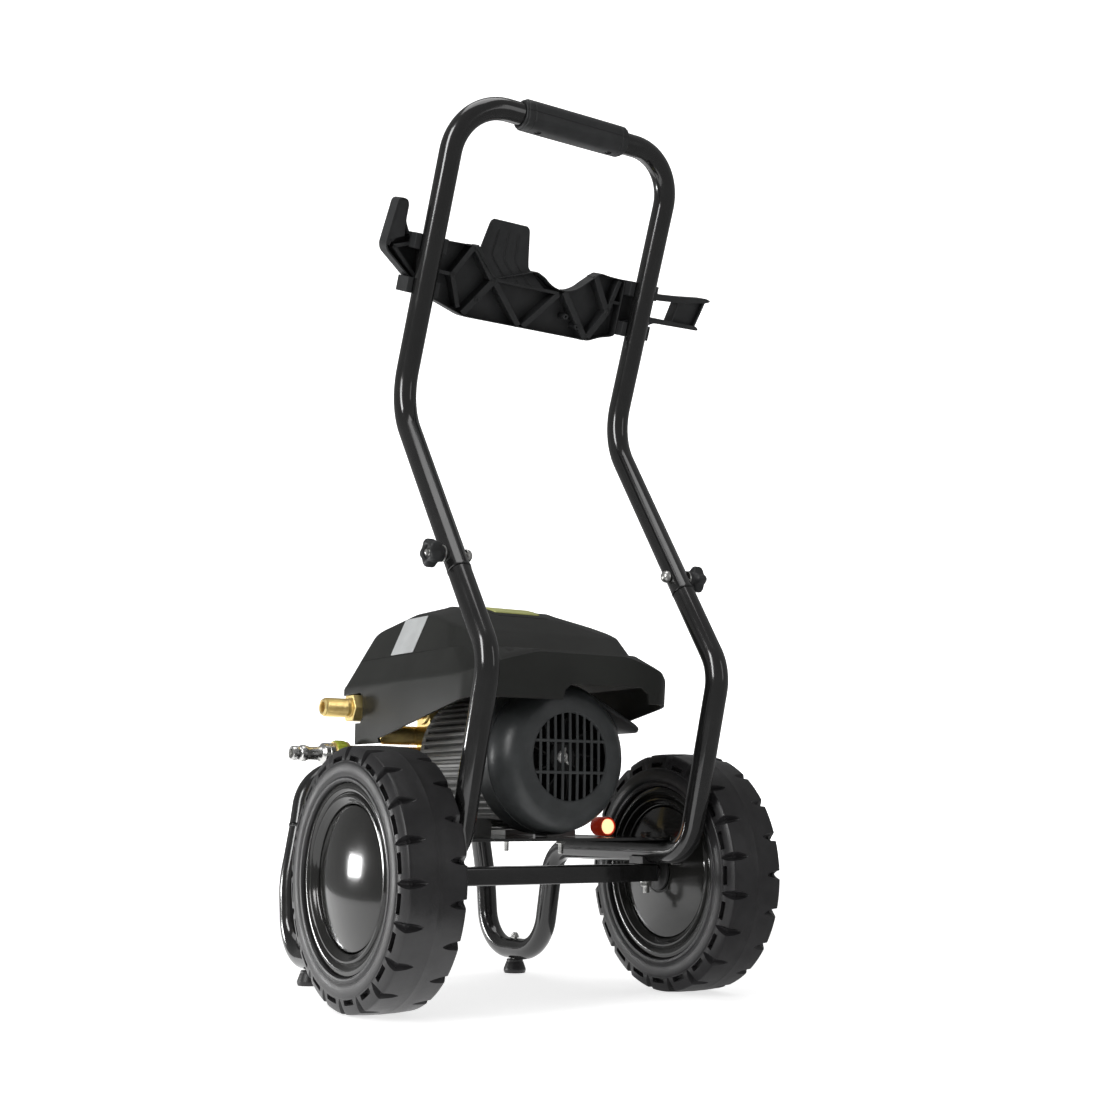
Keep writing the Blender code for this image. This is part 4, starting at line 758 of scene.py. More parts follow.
def tab_place(t, v, columns, front):
    """Place on the finger tab, t down from its tip and v across; front picks the plain face of its two."""
    left = -0.0640 - 0.0080 * min(1.0, t / 0.6) + 0.020 * max(0.0, t - 0.6) / 0.4
    right = -0.0134 + 0.0120 * t + 0.017 * max(0.0, t - 0.7) / 0.3
    rounding = 0.0035 * max(0.0, 1 - t / 0.07) ** 2
    left, right = left + rounding, right - rounding
    depth = 0.0105 - 0.0100 * max(0.0, (t - 0.55) / 0.45) ** 2 - 0.0009 * math.cos(math.pi * (v - 0.5))
    if front:
        depth += TAB_THICK
    elif 0.18 < t < 0.97:
        away = min(abs(v - centre) for centre in (0.24, 0.48, 0.72)) * columns
        depth += 0.0016 * max(0.0, 1.01 - away)
    return holder_point(left + (right - left) * v, 0.1150 + 0.0650 * t, depth)


def finger_tab(bm):
    """Upright tab that curves forward out of the tray's top edge, with three shallow grooves behind."""
    rows, columns = 26, 45
    sheets = []
    for is_front in (False, True):
        places = [[tab_place(i / rows, k / columns, columns, is_front) for k in range(columns + 1)]
                  for i in range(rows + 1)]
        sheets.append([[bm.verts.new(place) for place in row] for row in places])
    rear, front = sheets
    for i in range(rows):
        for k in range(columns):
            bm.faces.new((rear[i][k], rear[i][k + 1], rear[i + 1][k + 1], rear[i + 1][k]))
            bm.faces.new((front[i][k], front[i + 1][k], front[i + 1][k + 1], front[i][k + 1]))
        for k in (0, columns):
            bm.faces.new((rear[i][k], rear[i + 1][k], front[i + 1][k], front[i][k]))
    for i in (0, rows):
        for k in range(columns):
            bm.faces.new((rear[i][k], rear[i][k + 1], front[i][k + 1], front[i][k]))


def tube_clip(bm, centre, s):
    """Block behind the tray with two lips that grip the tube at (centre, s) from the front."""
    low, down = s - 0.0085, HOLDER_DOWN * 0.0170
    for u_low, u_high, back in ((-0.0200, -0.0130, -0.0120), (0.0130, 0.0200, -0.0120),
                                (-0.0200, 0.0200, 0.0140)):
        shape = ((u_low, 0.0), (u_high, 0.0), (u_high, back), (u_low, back))
        prism(bm, [holder_point(centre + u, low, b) for u, b in shape], down)


def lance_hook():
    """Hook at the left end of the tray: a thick upright finger with webs behind it."""
    outline = [(-0.1243, 0.152), (-0.146, 0.153), (-0.158, 0.156), (-0.168, 0.150), (-0.1735, 0.140),
               (-0.1735, 0.122), (-0.176, 0.117), (-0.183, 0.116), (-0.187, 0.119), (-0.1925, 0.168),
               (-0.190, 0.175), (-0.144, 0.208), (-0.1243, 0.214)]
    root = (-0.1817, 0.1687)
    bm = bmesh.new()
    tray(bm, smooth_outline(outline, 0.003), 0.0030, 0.0034)
    for start, end, width in ((root, (-0.1560, 0.1600), 0.0038), (root, (-0.1468, 0.1990), 0.0038),
                              ((-0.1460, 0.1550), (-0.1460, 0.2030), 0.0036),
                              ((-0.1860, 0.1640), (-0.1740, 0.1480), 0.0034),
                              ((-0.1890, 0.1690), (-0.1780, 0.1200), 0.0040)):
        rib(bm, start, end, width, rear=0.0012)
    prism(bm, [holder_point(u, s, 0.0004) for u, s in (
        (-0.1752, 0.1185), (-0.1850, 0.1185), (-0.1905, 0.1640), (-0.1720, 0.1560))], HOLDER_FORWARD * 0.015)
    hook = made_from("left_hook", bm, 25)
    soften(hook, 0.0008, 2, 40)
    show(hook, "black_plastic", "handle", "lance_hook")


def cable_hook():
    """Two thin prongs at the right end of the tray, tied by a slanted web."""
    bm = bmesh.new()
    prongs = ([(0.1243, 0.1520), (0.1600, 0.1530), (0.1764, 0.1575), (0.2100, 0.1545), (0.2460, 0.1500),
               (0.2526, 0.1515), (0.2526, 0.1535), (0.2480, 0.1555), (0.2100, 0.1620), (0.1764, 0.1650),
               (0.1600, 0.1650), (0.1243, 0.1650)],
              [(0.1243, 0.1990), (0.1600, 0.1900), (0.1764, 0.1860), (0.2400, 0.1855), (0.2440, 0.1885),
               (0.2430, 0.1905), (0.1764, 0.1925), (0.1650, 0.1985), (0.1600, 0.2060), (0.1243, 0.2110)])
    for outline in prongs:
        shape = smooth_outline(outline, 0.003)
        prism(bm, [holder_point(u, s, 0.001) for u, s in shape], HOLDER_FORWARD * (HOLDER_DEPTH - 0.002))
    web = [(0.2080, 0.1600), (0.2470, 0.1530), (0.2370, 0.1880), (0.2020, 0.1890)]
    prism(bm, [holder_point(u, s, 0.007) for u, s in web], HOLDER_FORWARD * 0.003)
    for a, b in (((0.2080, 0.1590), (0.2020, 0.1880)), ((0.2455, 0.1530), (0.2365, 0.1875))):
        rib(bm, a, b, 0.0026, rear=0.0015)
    root = ((0.1243, 0.160), (0.1560, 0.160), (0.1560, 0.200), (0.1243, 0.205))
    prism(bm, [holder_point(u, s, 0.006) for u, s in root], HOLDER_FORWARD * 0.004)
    hook = made_from("right_hook", bm, 25)
    soften(hook, 0.0006, 2, 40)
    show(hook, "black_plastic", "handle", "cable_hook")


# ---------------------------------------------------------------- handle clamps
def star(centre, first, second, scale, lobe):
    """Ring with five soft lobes, for the clamp knobs."""
    points = []
    for i in range(KNOB_SIDES):
        a = math.tau * i / KNOB_SIDES
        radius = scale * (0.0132 + lobe * math.cos(5 * a))
        points.append(centre + radius * (first * math.cos(a) + second * math.sin(a)))
    return points


def clamp(side, word):
    """Round-headed bolt through the handle joint and the star knob on its end."""
    axis = X_AXIS * side
    place = clamp_point(side)
    bolt = bmesh.new()
    head = [(-0.0205, 0), (-0.0203, 0.0020), (-0.0195, 0.0042), (-0.0180, 0.0060), (-0.0160, 0.0069),
            (-0.0136, 0.0070), (-0.0130, 0.0066), (-0.0130, 0.0040), (0.0130, 0.0040), (0.0130, 0)]
    turn(bolt, head, axis, place)
    thread(bolt, place, axis, 0.0128, 0.0315, 0.0040, 0.00125, 0.0004, sides=24)
    tip = [(0.0310, 0), (0.0310, 0.0036), (0.0330, 0.0030), (0.0338, 0.0015), (0.0340, 0)]
    turn(bolt, tip, axis, place, 24)
    washer = [(0.0130, 0.0042), (0.0130, 0.0088), (0.0140, 0.0090), (0.0143, 0.0086), (0.0143, 0.0042)]
    turn(bolt, washer, axis, place)
    show(made_from(word + "_through_bolt", bolt), "steel", "handle", word + "_clamp_bolt")
    first, second = frame_axes(axis)
    collar = ((0.0148, 0.0080), (0.0152, 0.0086), (0.0176, 0.0087), (0.0190, 0.0092))
    lobes = ((0.0202, 0.86, 0.0014), (0.0212, 0.96, 0.0020), (0.0228, 1.0, 0.0022), (0.0290, 1.0, 0.0022),
             (0.0312, 0.97, 0.0020), (0.0328, 0.88, 0.0016), (0.0334, 0.76, 0.0010))
    recess = ((0.0332, 0.0084), (0.0322, 0.0074), (0.0300, 0.0070), (0.0298, 0.0042), (0.0148, 0.0042))
    rings = [ring(place + axis * along, first, second, radius, KNOB_SIDES) for along, radius in collar]
    rings += [star(place + axis * along, first, second, scale, lobe) for along, scale, lobe in lobes]
    rings += [ring(place + axis * along, first, second, radius, KNOB_SIDES) for along, radius in recess]
    show(skinned(word + "_star_knob", rings, 40, closed=True), "black_plastic", word + "_knob",
         word + "_clamp_knob")


# ---------------------------------------------------------------- wheels
TREAD_PITCHES = 20
LEAF_T = (-1.3, -1.04, -0.97, -0.72, -0.38, 0.0, 0.38, 0.72, 0.97, 1.04, 1.3)
SLOT_T = (-1.30, -1.07, -1.02, -0.96, -0.5, 0.0, 0.5, 0.96, 1.02, 1.07, 1.30)
SLOT_HALF = math.radians(4.7)
LEAF_HALF = 0.0048 / WHEEL_R
BEAD_TIP, CORNER, CROWN_TIP = 0.1154, (0.0311, 0.1302), 0.0125


def tyre_profile():
    """Rows of one half of the tyre, from bead to crown, as (offset, radius)."""
    sidewall = [(0.0250, 0.0952), (0.0330, 0.0952), (0.0352, 0.0954), (0.0364, 0.0962), (0.0369, 0.0978),
                (0.0368, 0.0993), (0.0361, 0.1004), (0.0364, 0.1014), (0.0374, 0.1036), (0.0378, 0.1066),
                (0.0378, 0.1098), (0.0376, 0.1124), (0.0372, 0.1142), (0.0370, 0.1149), (0.0364, 0.1154),
                (0.0363, 0.1163), (0.0359, 0.1171), (0.0359, 0.1175), (0.0356, 0.1190), (0.0353, 0.1205),
                (0.0352, 0.1209), (0.0349, 0.1217), (0.0344, 0.1234), (0.0337, 0.1253), (0.0329, 0.1272),
                (0.0322, 0.1285), (0.0316, 0.1295), (0.0311, 0.1302), (0.0302, 0.1307)]
    crown = [(0.0290, 0.1309), (0.0270, 0.1310), (0.0245, 0.1311), (0.0215, 0.1313), (0.0185, 0.1315),
             (0.0160, 0.1316), (0.0140, 0.1317), (0.0125, 0.13175), (0.0080, 0.1318), (0.0012, 0.1319),
             (0.0006, 0.1320)]
    return sidewall + crown


def leaf_width(u, r):
    """Half width of a shoulder groove as a share of its widest, 0 at both tips."""
    if r < CORNER[1] and u > CORNER[0]:
        t = (r - BEAD_TIP) / (CORNER[1] - BEAD_TIP)
    else:
        t = (u - CROWN_TIP) / (CORNER[0] - CROWN_TIP)
    t = min(1.0, max(0.0, t))
    return t ** 0.7 * (1.6 - 0.6 * t)


def tread_cut(kind, t, u, r):
    """Depth of the tread at a point of the grid: a leaf groove over the shoulder or a slot beside it."""
    if kind == "leaf":
        wide = leaf_width(u, r)
        return 0.0080 * wide * max(0.0, 1 - abs(t) ** 2.4) if wide > 0.02 else 0.0
    return 0.0060 if abs(t) < 0.99 and 0.1168 < r < 0.1210 else 0.0


def tyre(side, word):
    """Tyre as a ring of points for each row of its section, pushed in where the tread is cut.

    A row is (offset, radius, sign): sign 1 on the outer half, -1 on the inner half, 0 off the tread.
    """
    rows = tyre_profile()
    span = [(u, r, 1) for u, r in rows] + [(0.0, WHEEL_R, 0)] + [(u, r, -1) for u, r in reversed(rows)]
    last = len(span) - 1
    span += [(-0.0250, 0.0965, 0), (0.0250, 0.0965, 0)]
    centre = Vector((side * WHEEL_X, 0, AXLE_Z))
    rings = []
    for index, (u, r, sign) in enumerate(span):
        before, after = span[max(0, index - 1)], span[min(last, index + 1)]
        along = Vector((after[0] * (after[2] or 1) - before[0] * (before[2] or 1), after[1] - before[1]))
        normal = Vector((-along.y, along.x)).normalized() if along.length else Y_AXIS
        wide = max(0.13, leaf_width(u, r)) * LEAF_HALF
        blend = min(1.0, max(0.0, 0.5 - 0.5 * sign * u / CROWN_TIP))
        points = []
        for half_pitch in range(2 * TREAD_PITCHES):
            kinds = ("slot", "leaf") if half_pitch % 2 else ("leaf", "slot")
            for t_leaf, t_slot in zip(LEAF_T, SLOT_T):
                spans = {"leaf": t_leaf * wide, "slot": t_slot * SLOT_HALF}
                offset = spans[kinds[0]] * (1 - blend) + spans[kinds[1]] * blend
                a = half_pitch * math.pi / TREAD_PITCHES + offset
                depth = 0.0
                if sign:
                    kind = kinds[0] if sign > 0 else kinds[1]
                    depth = tread_cut(kind, t_leaf if kind == "leaf" else t_slot, u, r)
                radius = r - abs(normal.y) * depth
                x = (sign or 1) * (u - abs(normal.x) * depth)
                out = Y_AXIS * math.cos(a) + Z_AXIS * math.sin(a)
                points.append(centre + X_AXIS * side * x + out * radius)
        rings.append(points)
    show(skinned(word + "_tyre_tread", rings, 38, closed=True), "rubber", word + "_wheel", word + "_tyre")


def wheel_piece(name, profile, side, finish, word, node=None, smooth=32):
    """Turned piece of a wheel."""
    place = Vector((side * WHEEL_X, 0, AXLE_Z))
    show(turned(name, profile, X_AXIS * side, place, 128, smooth), finish, word + "_wheel", node)


def wheel(side, word):
    """Tyre, rim with its inner dish, hub and domed cap of one wheel."""
    tyre(side, word)
    flange = [(0.0278, 0.0949), (0.0318, 0.0948), (0.0330, 0.0938), (0.0336, 0.0916), (0.0336, 0.0890),
              (0.0328, 0.0868), (0.0314, 0.0850), (0.0303, 0.0843), (0.0301, 0.0836), (0.0318, 0.0828),
              (0.0328, 0.0816), (0.0329, 0.0800), (0.0320, 0.0784), (0.0304, 0.0770), (0.0292, 0.0754),
              (0.0283, 0.0742), (0.0270, 0.0734), (0.0240, 0.0732)]
    barrel = [(0.0120, 0.0790), (0.0112, 0.0740), (0.0100, 0.0300), (0.0100, 0.0168), (0.0060, 0.0168),
              (0.0060, 0.0740), (-0.0100, 0.0780)]
    dish = [(-0.0240, 0.0732), (-0.0262, 0.0716), (-0.0275, 0.0660), (-0.0300, 0.0520), (-0.0322, 0.0380),
            (-0.0334, 0.0260), (-0.0340, 0.0215), (-0.0330, 0.0168), (-0.0300, 0.0168), (-0.0310, 0.0260),
            (-0.0290, 0.0420), (-0.0250, 0.0640), (-0.0230, 0.0722)]
    hub = [(-0.0375, 0.0073), (-0.0375, 0.0190), (-0.0369, 0.0200), (-0.0350, 0.0203), (-0.0346, 0.0165),
           (0.0080, 0.0165), (0.0090, 0.0160), (0.0095, 0.0150), (0.0095, 0.0073)]
    edge, crown, steps = 0.0268, 0.0375, 24
    dome = [(crown - (crown - edge) * (i / steps) ** 2, 0.0710 * i / steps) for i in range(steps + 1)]
    lip = [(edge - 0.0004, 0.0717), (edge - 0.0016, 0.0720), (edge - 0.0024, 0.0716)]
    inside = [(along - 0.0018, max(0.0, radius - 0.0012)) for along, radius in reversed(dome)]
    rim = flange + barrel + [(-u, r) for u, r in reversed(flange)]
    wheel_piece(word + "_wheel_rim", rim, side, "rim_paint", word, word + "_rim")
    wheel_piece(word + "_wheel_dish", dish, side, "rim_paint", word)
    wheel_piece(word + "_wheel_hub", hub, side, "nylon", word, word + "_hub")
    wheel_piece(word + "_hub_cap", dome + lip + inside, side, "rim_paint", word, word + "_wheel_dome", 50)


# ---------------------------------------------------------------- motor
MOTOR = Vector((0, 0, MOTOR_Z))
GRILLE_R = 0.0466


def add_motor_feet(made, end):
    """Join both feet of one end of the motor to a casting, then cut their bolt holes and seats."""
    y, y_low, y_high, height = MOTOR_FEET[end]
    feet, cuts = [], []
    for side, _ in SIDES:
        outline = ((0.036, 0.0003), (0.074, 0.0003), (0.074, 0.0065), (0.058, 0.020), (0.036, height))
        feet.append(cutter([(side * x, y_low, PLATE_TOP + z) for x, z in outline], Y_AXIS * (y_high - y_low)))
        place = Vector((side * MOTOR_BOLT_X, y, PLATE_TOP))
        cuts += [drill(place, Z_AXIS, -0.01, 0.02, MOTOR_BOLT_HOLE_R),
                 drill(place, Z_AXIS, 0.0100, 0.024, 0.0075)]
    carve(made, *feet, operation="UNION", smooth=25)
    carve(made, *cuts, smooth=25)


def motor_casing():
    """Die-cast body with lengthwise fins and its rear feet."""
    fins, inner, core, tip = 56, 0.0603, 0.0700, 0.0780
    shape = ((-0.20, tip - 0.0004), (-0.13, tip), (0.13, tip), (0.20, tip - 0.0004), (0.29, core + 0.0008),
             (0.36, core), (0.64, core), (0.71, core + 0.0008))
    section, bore = [], []
    for i in range(fins):
        for offset, radius in shape:
            a = math.tau * (i + offset) / fins
            section.append((radius * math.sin(a), radius * math.cos(a)))
            bore.append((inner * math.sin(a), inner * math.cos(a)))
    layers = ((section, 0.0010, 0.985), (section, 0.0016, 1.0), (section, 0.1234, 1.0),
              (section, 0.1240, 0.985), (bore, 0.1240, 1.0), (bore, 0.0010, 1.0))
    rings = [[Vector((x * k, y, MOTOR_Z + z * k)) for x, z in points] for points, y, k in layers]
    casing = skinned("motor_body", rings, 25, closed=True)
    add_motor_feet(casing, "rear")
    show(casing, "aluminium", "frame", "motor_casing")


def drive_end_shield():
    """Front casting of the motor, with its bearing boss and the front feet."""
    profile = [(0.1243, 0.0076), (0.1243, 0.0738), (0.1245, 0.0740), (0.1322, 0.0740), (0.1330, 0.0732),
               (0.1332, 0.0560), (0.1340, 0.0500), (0.1366, 0.0482), (0.1370, 0.0470), (0.1370, 0.0076)]
    shield = turned("drive_end_shield", profile, Y_AXIS, MOTOR, 96, 25)
    add_motor_feet(shield, "front")
    show(shield, "aluminium", "frame", "front_end_shield")


def fan_cover():
    """Deep-drawn cover: a straight skirt, a crisp shoulder and a bulging rear round its window."""
    skirt = [(0.0000, 0.0809), (-0.0004, 0.0815), (-0.0262, 0.0815), (-0.0265, 0.0813),
             (-0.0267, 0.0800), (-0.0275, 0.0800), (-0.0277, 0.0812)]
    low, span, steps = math.radians(4), math.radians(62), 14
    bulge = []
    for i in range(steps + 1):
        a = low + span * i / steps
        bulge.append((-0.0285 - 0.0318 * math.sin(a) / math.sin(low + span),
                      0.0457 + 0.0346 * math.cos(a) ** 0.8))
    bulge += [(-0.0612, 0.0520), (-0.0616, 0.0480), (-0.0610, 0.0466), (-0.0600, 0.0461), (-0.0590, 0.0459)]
    inside = [(-0.0582, 0.0466), (-0.0588, 0.0520), (-0.0560, 0.0600), (-0.0480, 0.0700), (-0.0380, 0.0768),
              (-0.0265, 0.0785), (-0.0100, 0.0790), (-0.0098, 0.0640), (-0.0080, 0.0640), (-0.0078, 0.0794),
              (0.0000, 0.0795)]
    cover = turned("fan_shroud", skirt + bulge + inside, Y_AXIS, MOTOR, 96, 28)
    show(cover, "cover_plastic", "frame", "fan_cover")


def grille_bar(bm, off_middle, along, across):
    """Bar of the fan window at a distance from its middle, following the window's slight bulge."""
    half, wide, thick, steps = math.sqrt(GRILLE_R ** 2 - off_middle ** 2), 0.0016, 0.0024, 12
    section = ((-wide, 0.0006), (-wide * 0.6, 0), (wide * 0.6, 0), (wide, 0.0006), (wide * 0.8, thick),
               (-wide * 0.8, thick))
    rings = []
    for i in range(steps + 1):
        reach = -half + 2 * half * i / steps
        y = -0.0606 - 0.0008 * (1 - (reach ** 2 + off_middle ** 2) / GRILLE_R ** 2)
        centre = MOTOR + along * reach + across * off_middle + Y_AXIS * y
        rings.append([centre + across * u + Y_AXIS * v for u, v in section])
    skin(bm, rings)


def fan_grille():
    bm = bmesh.new()
    for i in range(-4, 5):
        grille_bar(bm, i * 0.0092, Z_AXIS, X_AXIS)
    for z in (-0.0165, 0.0165):
        grille_bar(bm, z, X_AXIS, Z_AXIS)
    show(made_from("fan_grille", bm, 40), "cover_plastic", "frame")


def fan():
    """Moulded fan: a ribbed hub, nine curved blades on a back plate, and the clip that holds it."""
    blades, steps = 9, 12
    bm = bmesh.new()
    turn(bm, [(-0.0460, 0.0072), (-0.0460, 0.0150), (-0.0452, 0.0158), (-0.0300, 0.0162), (-0.0250, 0.0180),
              (-0.0244, 0.0595), (-0.0240, 0.0600), (-0.0210, 0.0600), (-0.0210, 0.0072)], Y_AXIS, MOTOR, 72)
    for blade in range(blades):
        rings = []
        for k in range(steps + 1):
            t = k / steps
            a = math.tau * blade / blades + 0.35 * t ** 1.4
            middle = MOTOR + Vector((math.sin(a), 0, math.cos(a))) * (0.0145 + 0.0435 * t)
            thick = Vector((math.cos(a), 0, -math.sin(a))) * 0.0009
            rear, front = Y_AXIS * (-0.0440 + 0.0040 * t ** 2), Y_AXIS * -0.0225
            corners = ((-thick, rear), (thick, rear), (thick, front), (-thick, front))
            rings.append([middle + sideways + lengthways for sideways, lengthways in corners])
        skin(bm, rings)
    for i in range(6):
        box(bm, (-0.0007, -0.0470, 0.0078), (0.0007, -0.0448, 0.0152))
        spin = Matrix.Rotation(math.tau * i / 6, 3, "Y")
        bmesh.ops.rotate(bm, verts=bm.verts[-8:], cent=(0, 0, 0), matrix=spin)
        bmesh.ops.translate(bm, verts=bm.verts[-8:], vec=MOTOR)
    show(made_from("fan_wheel", bm, 35), "fan_plastic", "rotor", "cooling_fan")
    clip = bmesh.new()
    turn(clip, [(-0.0466, 0.0020), (-0.0472, 0.0028), (-0.0472, 0.0056), (-0.0466, 0.0064), (-0.0460, 0.0064),
                (-0.0460, 0.0020)], Y_AXIS, MOTOR, 40)
    ribs_round(clip, MOTOR - Y_AXIS * 0.0472, Y_AXIS, 0.0010, (0.006, 0.0016), (0.0105, 0.0009), 3,
               0.3 - math.pi / 2)
    show(made_from("shaft_clip", clip, 35), "steel", "rotor")


def terminal_axes():
    """Directions along and out of the tilted terminal box."""
    tilt = Matrix.Rotation(TERMINAL_TILT, 3, "Y")
    return tilt @ X_AXIS, tilt @ Z_AXIS


def terminal_ring(half_along, y_low, y_high, lift, corner):
    """Rounded ring of the terminal box at a height over the motor's middle."""
    along, up = terminal_axes()
    centre = MOTOR + along * TERMINAL_MIDDLE
    square = [centre + along * u + Y_AXIS * y + up * lift for u, y in (
        (half_along, y_high), (-half_along, y_high), (-half_along, y_low), (half_along, y_low))]
    return rounded_outline(square, corner, 7)


def terminal_box():
    """Box on the motor's right shoulder, its lid's edge rolled into a rounded lip."""
    case = ((0.0465, 0.0165, 0.0695, 0.052), (0.0470, 0.0160, 0.0700, 0.053),
            (0.0470, 0.0160, 0.0700, 0.0740), (0.0480, 0.0150, 0.0710, 0.0748),
            (0.0480, 0.0150, 0.0710, 0.0810), (0.0474, 0.0156, 0.0704, 0.0815))
    lid = ((0.0505, -0.0210, 0.0730, 0.0818), (0.0515, -0.0220, 0.0740, 0.0826),
           (0.0517, -0.0222, 0.0742, 0.0846), (0.0512, -0.0217, 0.0737, 0.0862),
           (0.0500, -0.0205, 0.0725, 0.0870), (0.0480, -0.0185, 0.0705, 0.0870),
           (0.0470, -0.0175, 0.0695, 0.0860), (0.0440, -0.0145, 0.0665, 0.0858))
    made = skinned("terminal_case", [terminal_ring(*level, 0.010) for level in case], 30)
    relief = bmesh.new()
    turn(relief, [(-0.02, 0), (-0.02, 0.0788), (0.14, 0.0788), (0.14, 0)], Y_AXIS, MOTOR, 96)
    carve(made, relief)
    show(made, "black_plastic", "frame", "terminal_box")
    show(skinned("terminal_cover", [terminal_ring(*level, 0.015) for level in lid], 40), "cover_plastic",
         "frame", "terminal_box_lid")
    along, up = terminal_axes()
    head = [(0.0856, 0), (0.0856, 0.0034), (0.0868, 0.0032), (0.0876, 0.0020), (0.0878, 0.0010),
            (0.0868, 0.0010), (0.0868, 0)]
    screws = bmesh.new()
    for u in (-0.038, 0.038):
        for y in (-0.0085, 0.0605):
            turn(screws, head, up, MOTOR + along * (TERMINAL_MIDDLE + u) + Y_AXIS * y, 24)
    show(made_from("terminal_screws", screws), "steel", "frame")


def cable_gland():
    """Gland in the terminal box's front wall, open because no lead is drawn."""
    place = Vector((0.104, 0.0703, 0.275))
    gland = bmesh.new()
    turn(gland, [(0.0062, 0.0045), (0.0062, 0.0084), (0.0140, 0.0086), (0.0170, 0.0080), (0.0192, 0.0066),
                 (0.0200, 0.0056), (0.0198, 0.0045)], Y_AXIS, place, 40)
    thread(gland, place, Y_AXIS, 0.0000, 0.0062, 0.0092, 0.0015, 0.0006, bore=0.0045)
    nut = ((0.0008, 0.0098), (0.0012, 0.0104), (0.0054, 0.0104), (0.0058, 0.0098))
    bored_hexagon(gland, place, Y_AXIS, nut, 0.0070)
    show(made_from("lead_gland", gland, 30), "nylon", "frame", "cable_gland")


def motor_bolts():
    nut_high = PLATE_TOP - PLATE_THICK - 0.0003
    for side, word in SIDES:
        for end, (y, *_) in MOTOR_FEET.items():
            place, head = (side * MOTOR_BOLT_X, y, 0), PLATE_TOP + 0.0104
            hex_bolt(f"{word}_{end}_foot_bolt", place, head + 0.0044, head, 0.0100, 0.0030, 0.1495, nut_high,
                     nut_high - 0.0049, f"{word}_{end}_motor_bolt", 0.0070)


# ---------------------------------------------------------------- pump
def pump_head():
    """Brass manifold with its valve bosses, outlet boss and bypass valve."""
    half, rear, depth, low, high = 0.042, 0.1673, 0.0307, 0.222, 0.328
    square = [Vector((x, rear, z)) for x, z in ((-half, low), (half, low), (half, high), (-half, high))]
    bm = bmesh.new()
    prism(bm, rounded_outline(square, 0.008, 6), Y_AXIS * depth)
    head = made_from("brass_manifold", bm, 30)
    outlet = bmesh.new()
    turn(outlet, [(-0.006, 0), (-0.006, 0.0160), (0.0015, 0.0160), (0.0025, 0.0150), (0.0025, 0)], -X_AXIS,
         (-half, PUMP_Y, OUTLET_Z), 48)
    joins = [outlet]
    for x, z in VALVES:
        boss = bmesh.new()
        profile = [(0.190, 0), (0.190, 0.0130), (0.2000, 0.0130), (0.2012, 0.0118), (0.2012, 0)]
        turn(boss, profile, Y_AXIS, (x, 0, z), 40)
        joins.append(boss)
    bypass = bmesh.new()
    turn(bypass, [(-0.006, 0), (-0.006, 0.0108), (0.0160, 0.0108), (0.0164, 0.0098), (0.0184, 0.0098),
                  (0.0188, 0.0108), (0.0520, 0.0108), (0.0530, 0.0104), (0.0590, 0.0086), (0.0592, 0)],
         -X_AXIS, (-half, PUMP_Y, BYPASS_Z), 48)
    joins.append(bypass)
    carve(head, *joins, operation="UNION")
    soften(head, 0.0012, 3)
    show(head, "brass", "frame", "pump_head")
    plugs = bmesh.new()
    for x, z in VALVES:
        hexagon(plugs, Vector((x, 0, z)), Y_AXIS, 0.2008, 0.2040, 0.0170)
    show(made_from("valve_plugs", plugs), "brass", "frame")


def outlet_fitting():
    """Threaded water outlet behind a hexagon."""
    place, axis = Vector((0, PUMP_Y, OUTLET_Z)), -X_AXIS
    outlet = bmesh.new()
    turn(outlet, [(0.0445, 0.0050), (0.0445, 0.0092), (0.0460, 0.0096), (0.1195, 0.0096), (0.1200, 0.0130),
                  (0.1208, 0.0136), (0.1208, 0.0050)], axis, place)
    nut = ((0.1206, 0.0160), (0.1216, 0.0168), (0.1378, 0.0168), (0.1388, 0.0158))
    bored_hexagon(outlet, place, axis, nut, 0.0080)
    turn(outlet, [(0.1384, 0.0080), (0.1384, 0.0112), (0.1392, 0.0114), (0.1398, 0.0100), (0.1428, 0.0098),
                  (0.1428, 0.0080)], axis, place)
    thread(outlet, place, axis, 0.1424, 0.1700, 0.0108, 0.0015, 0.0009, bore=0.0058, sides=64, per_turn=8)
    turn(outlet, [(0.1690, 0.0058), (0.1690, 0.0098), (0.1702, 0.0098), (0.1718, 0.0088), (0.1722, 0.0078),
                  (0.1716, 0.0062), (0.1700, 0.0058)], axis, place)
    show(made_from("outlet_union", outlet, 28), "brass", "frame", "outlet_fitting")


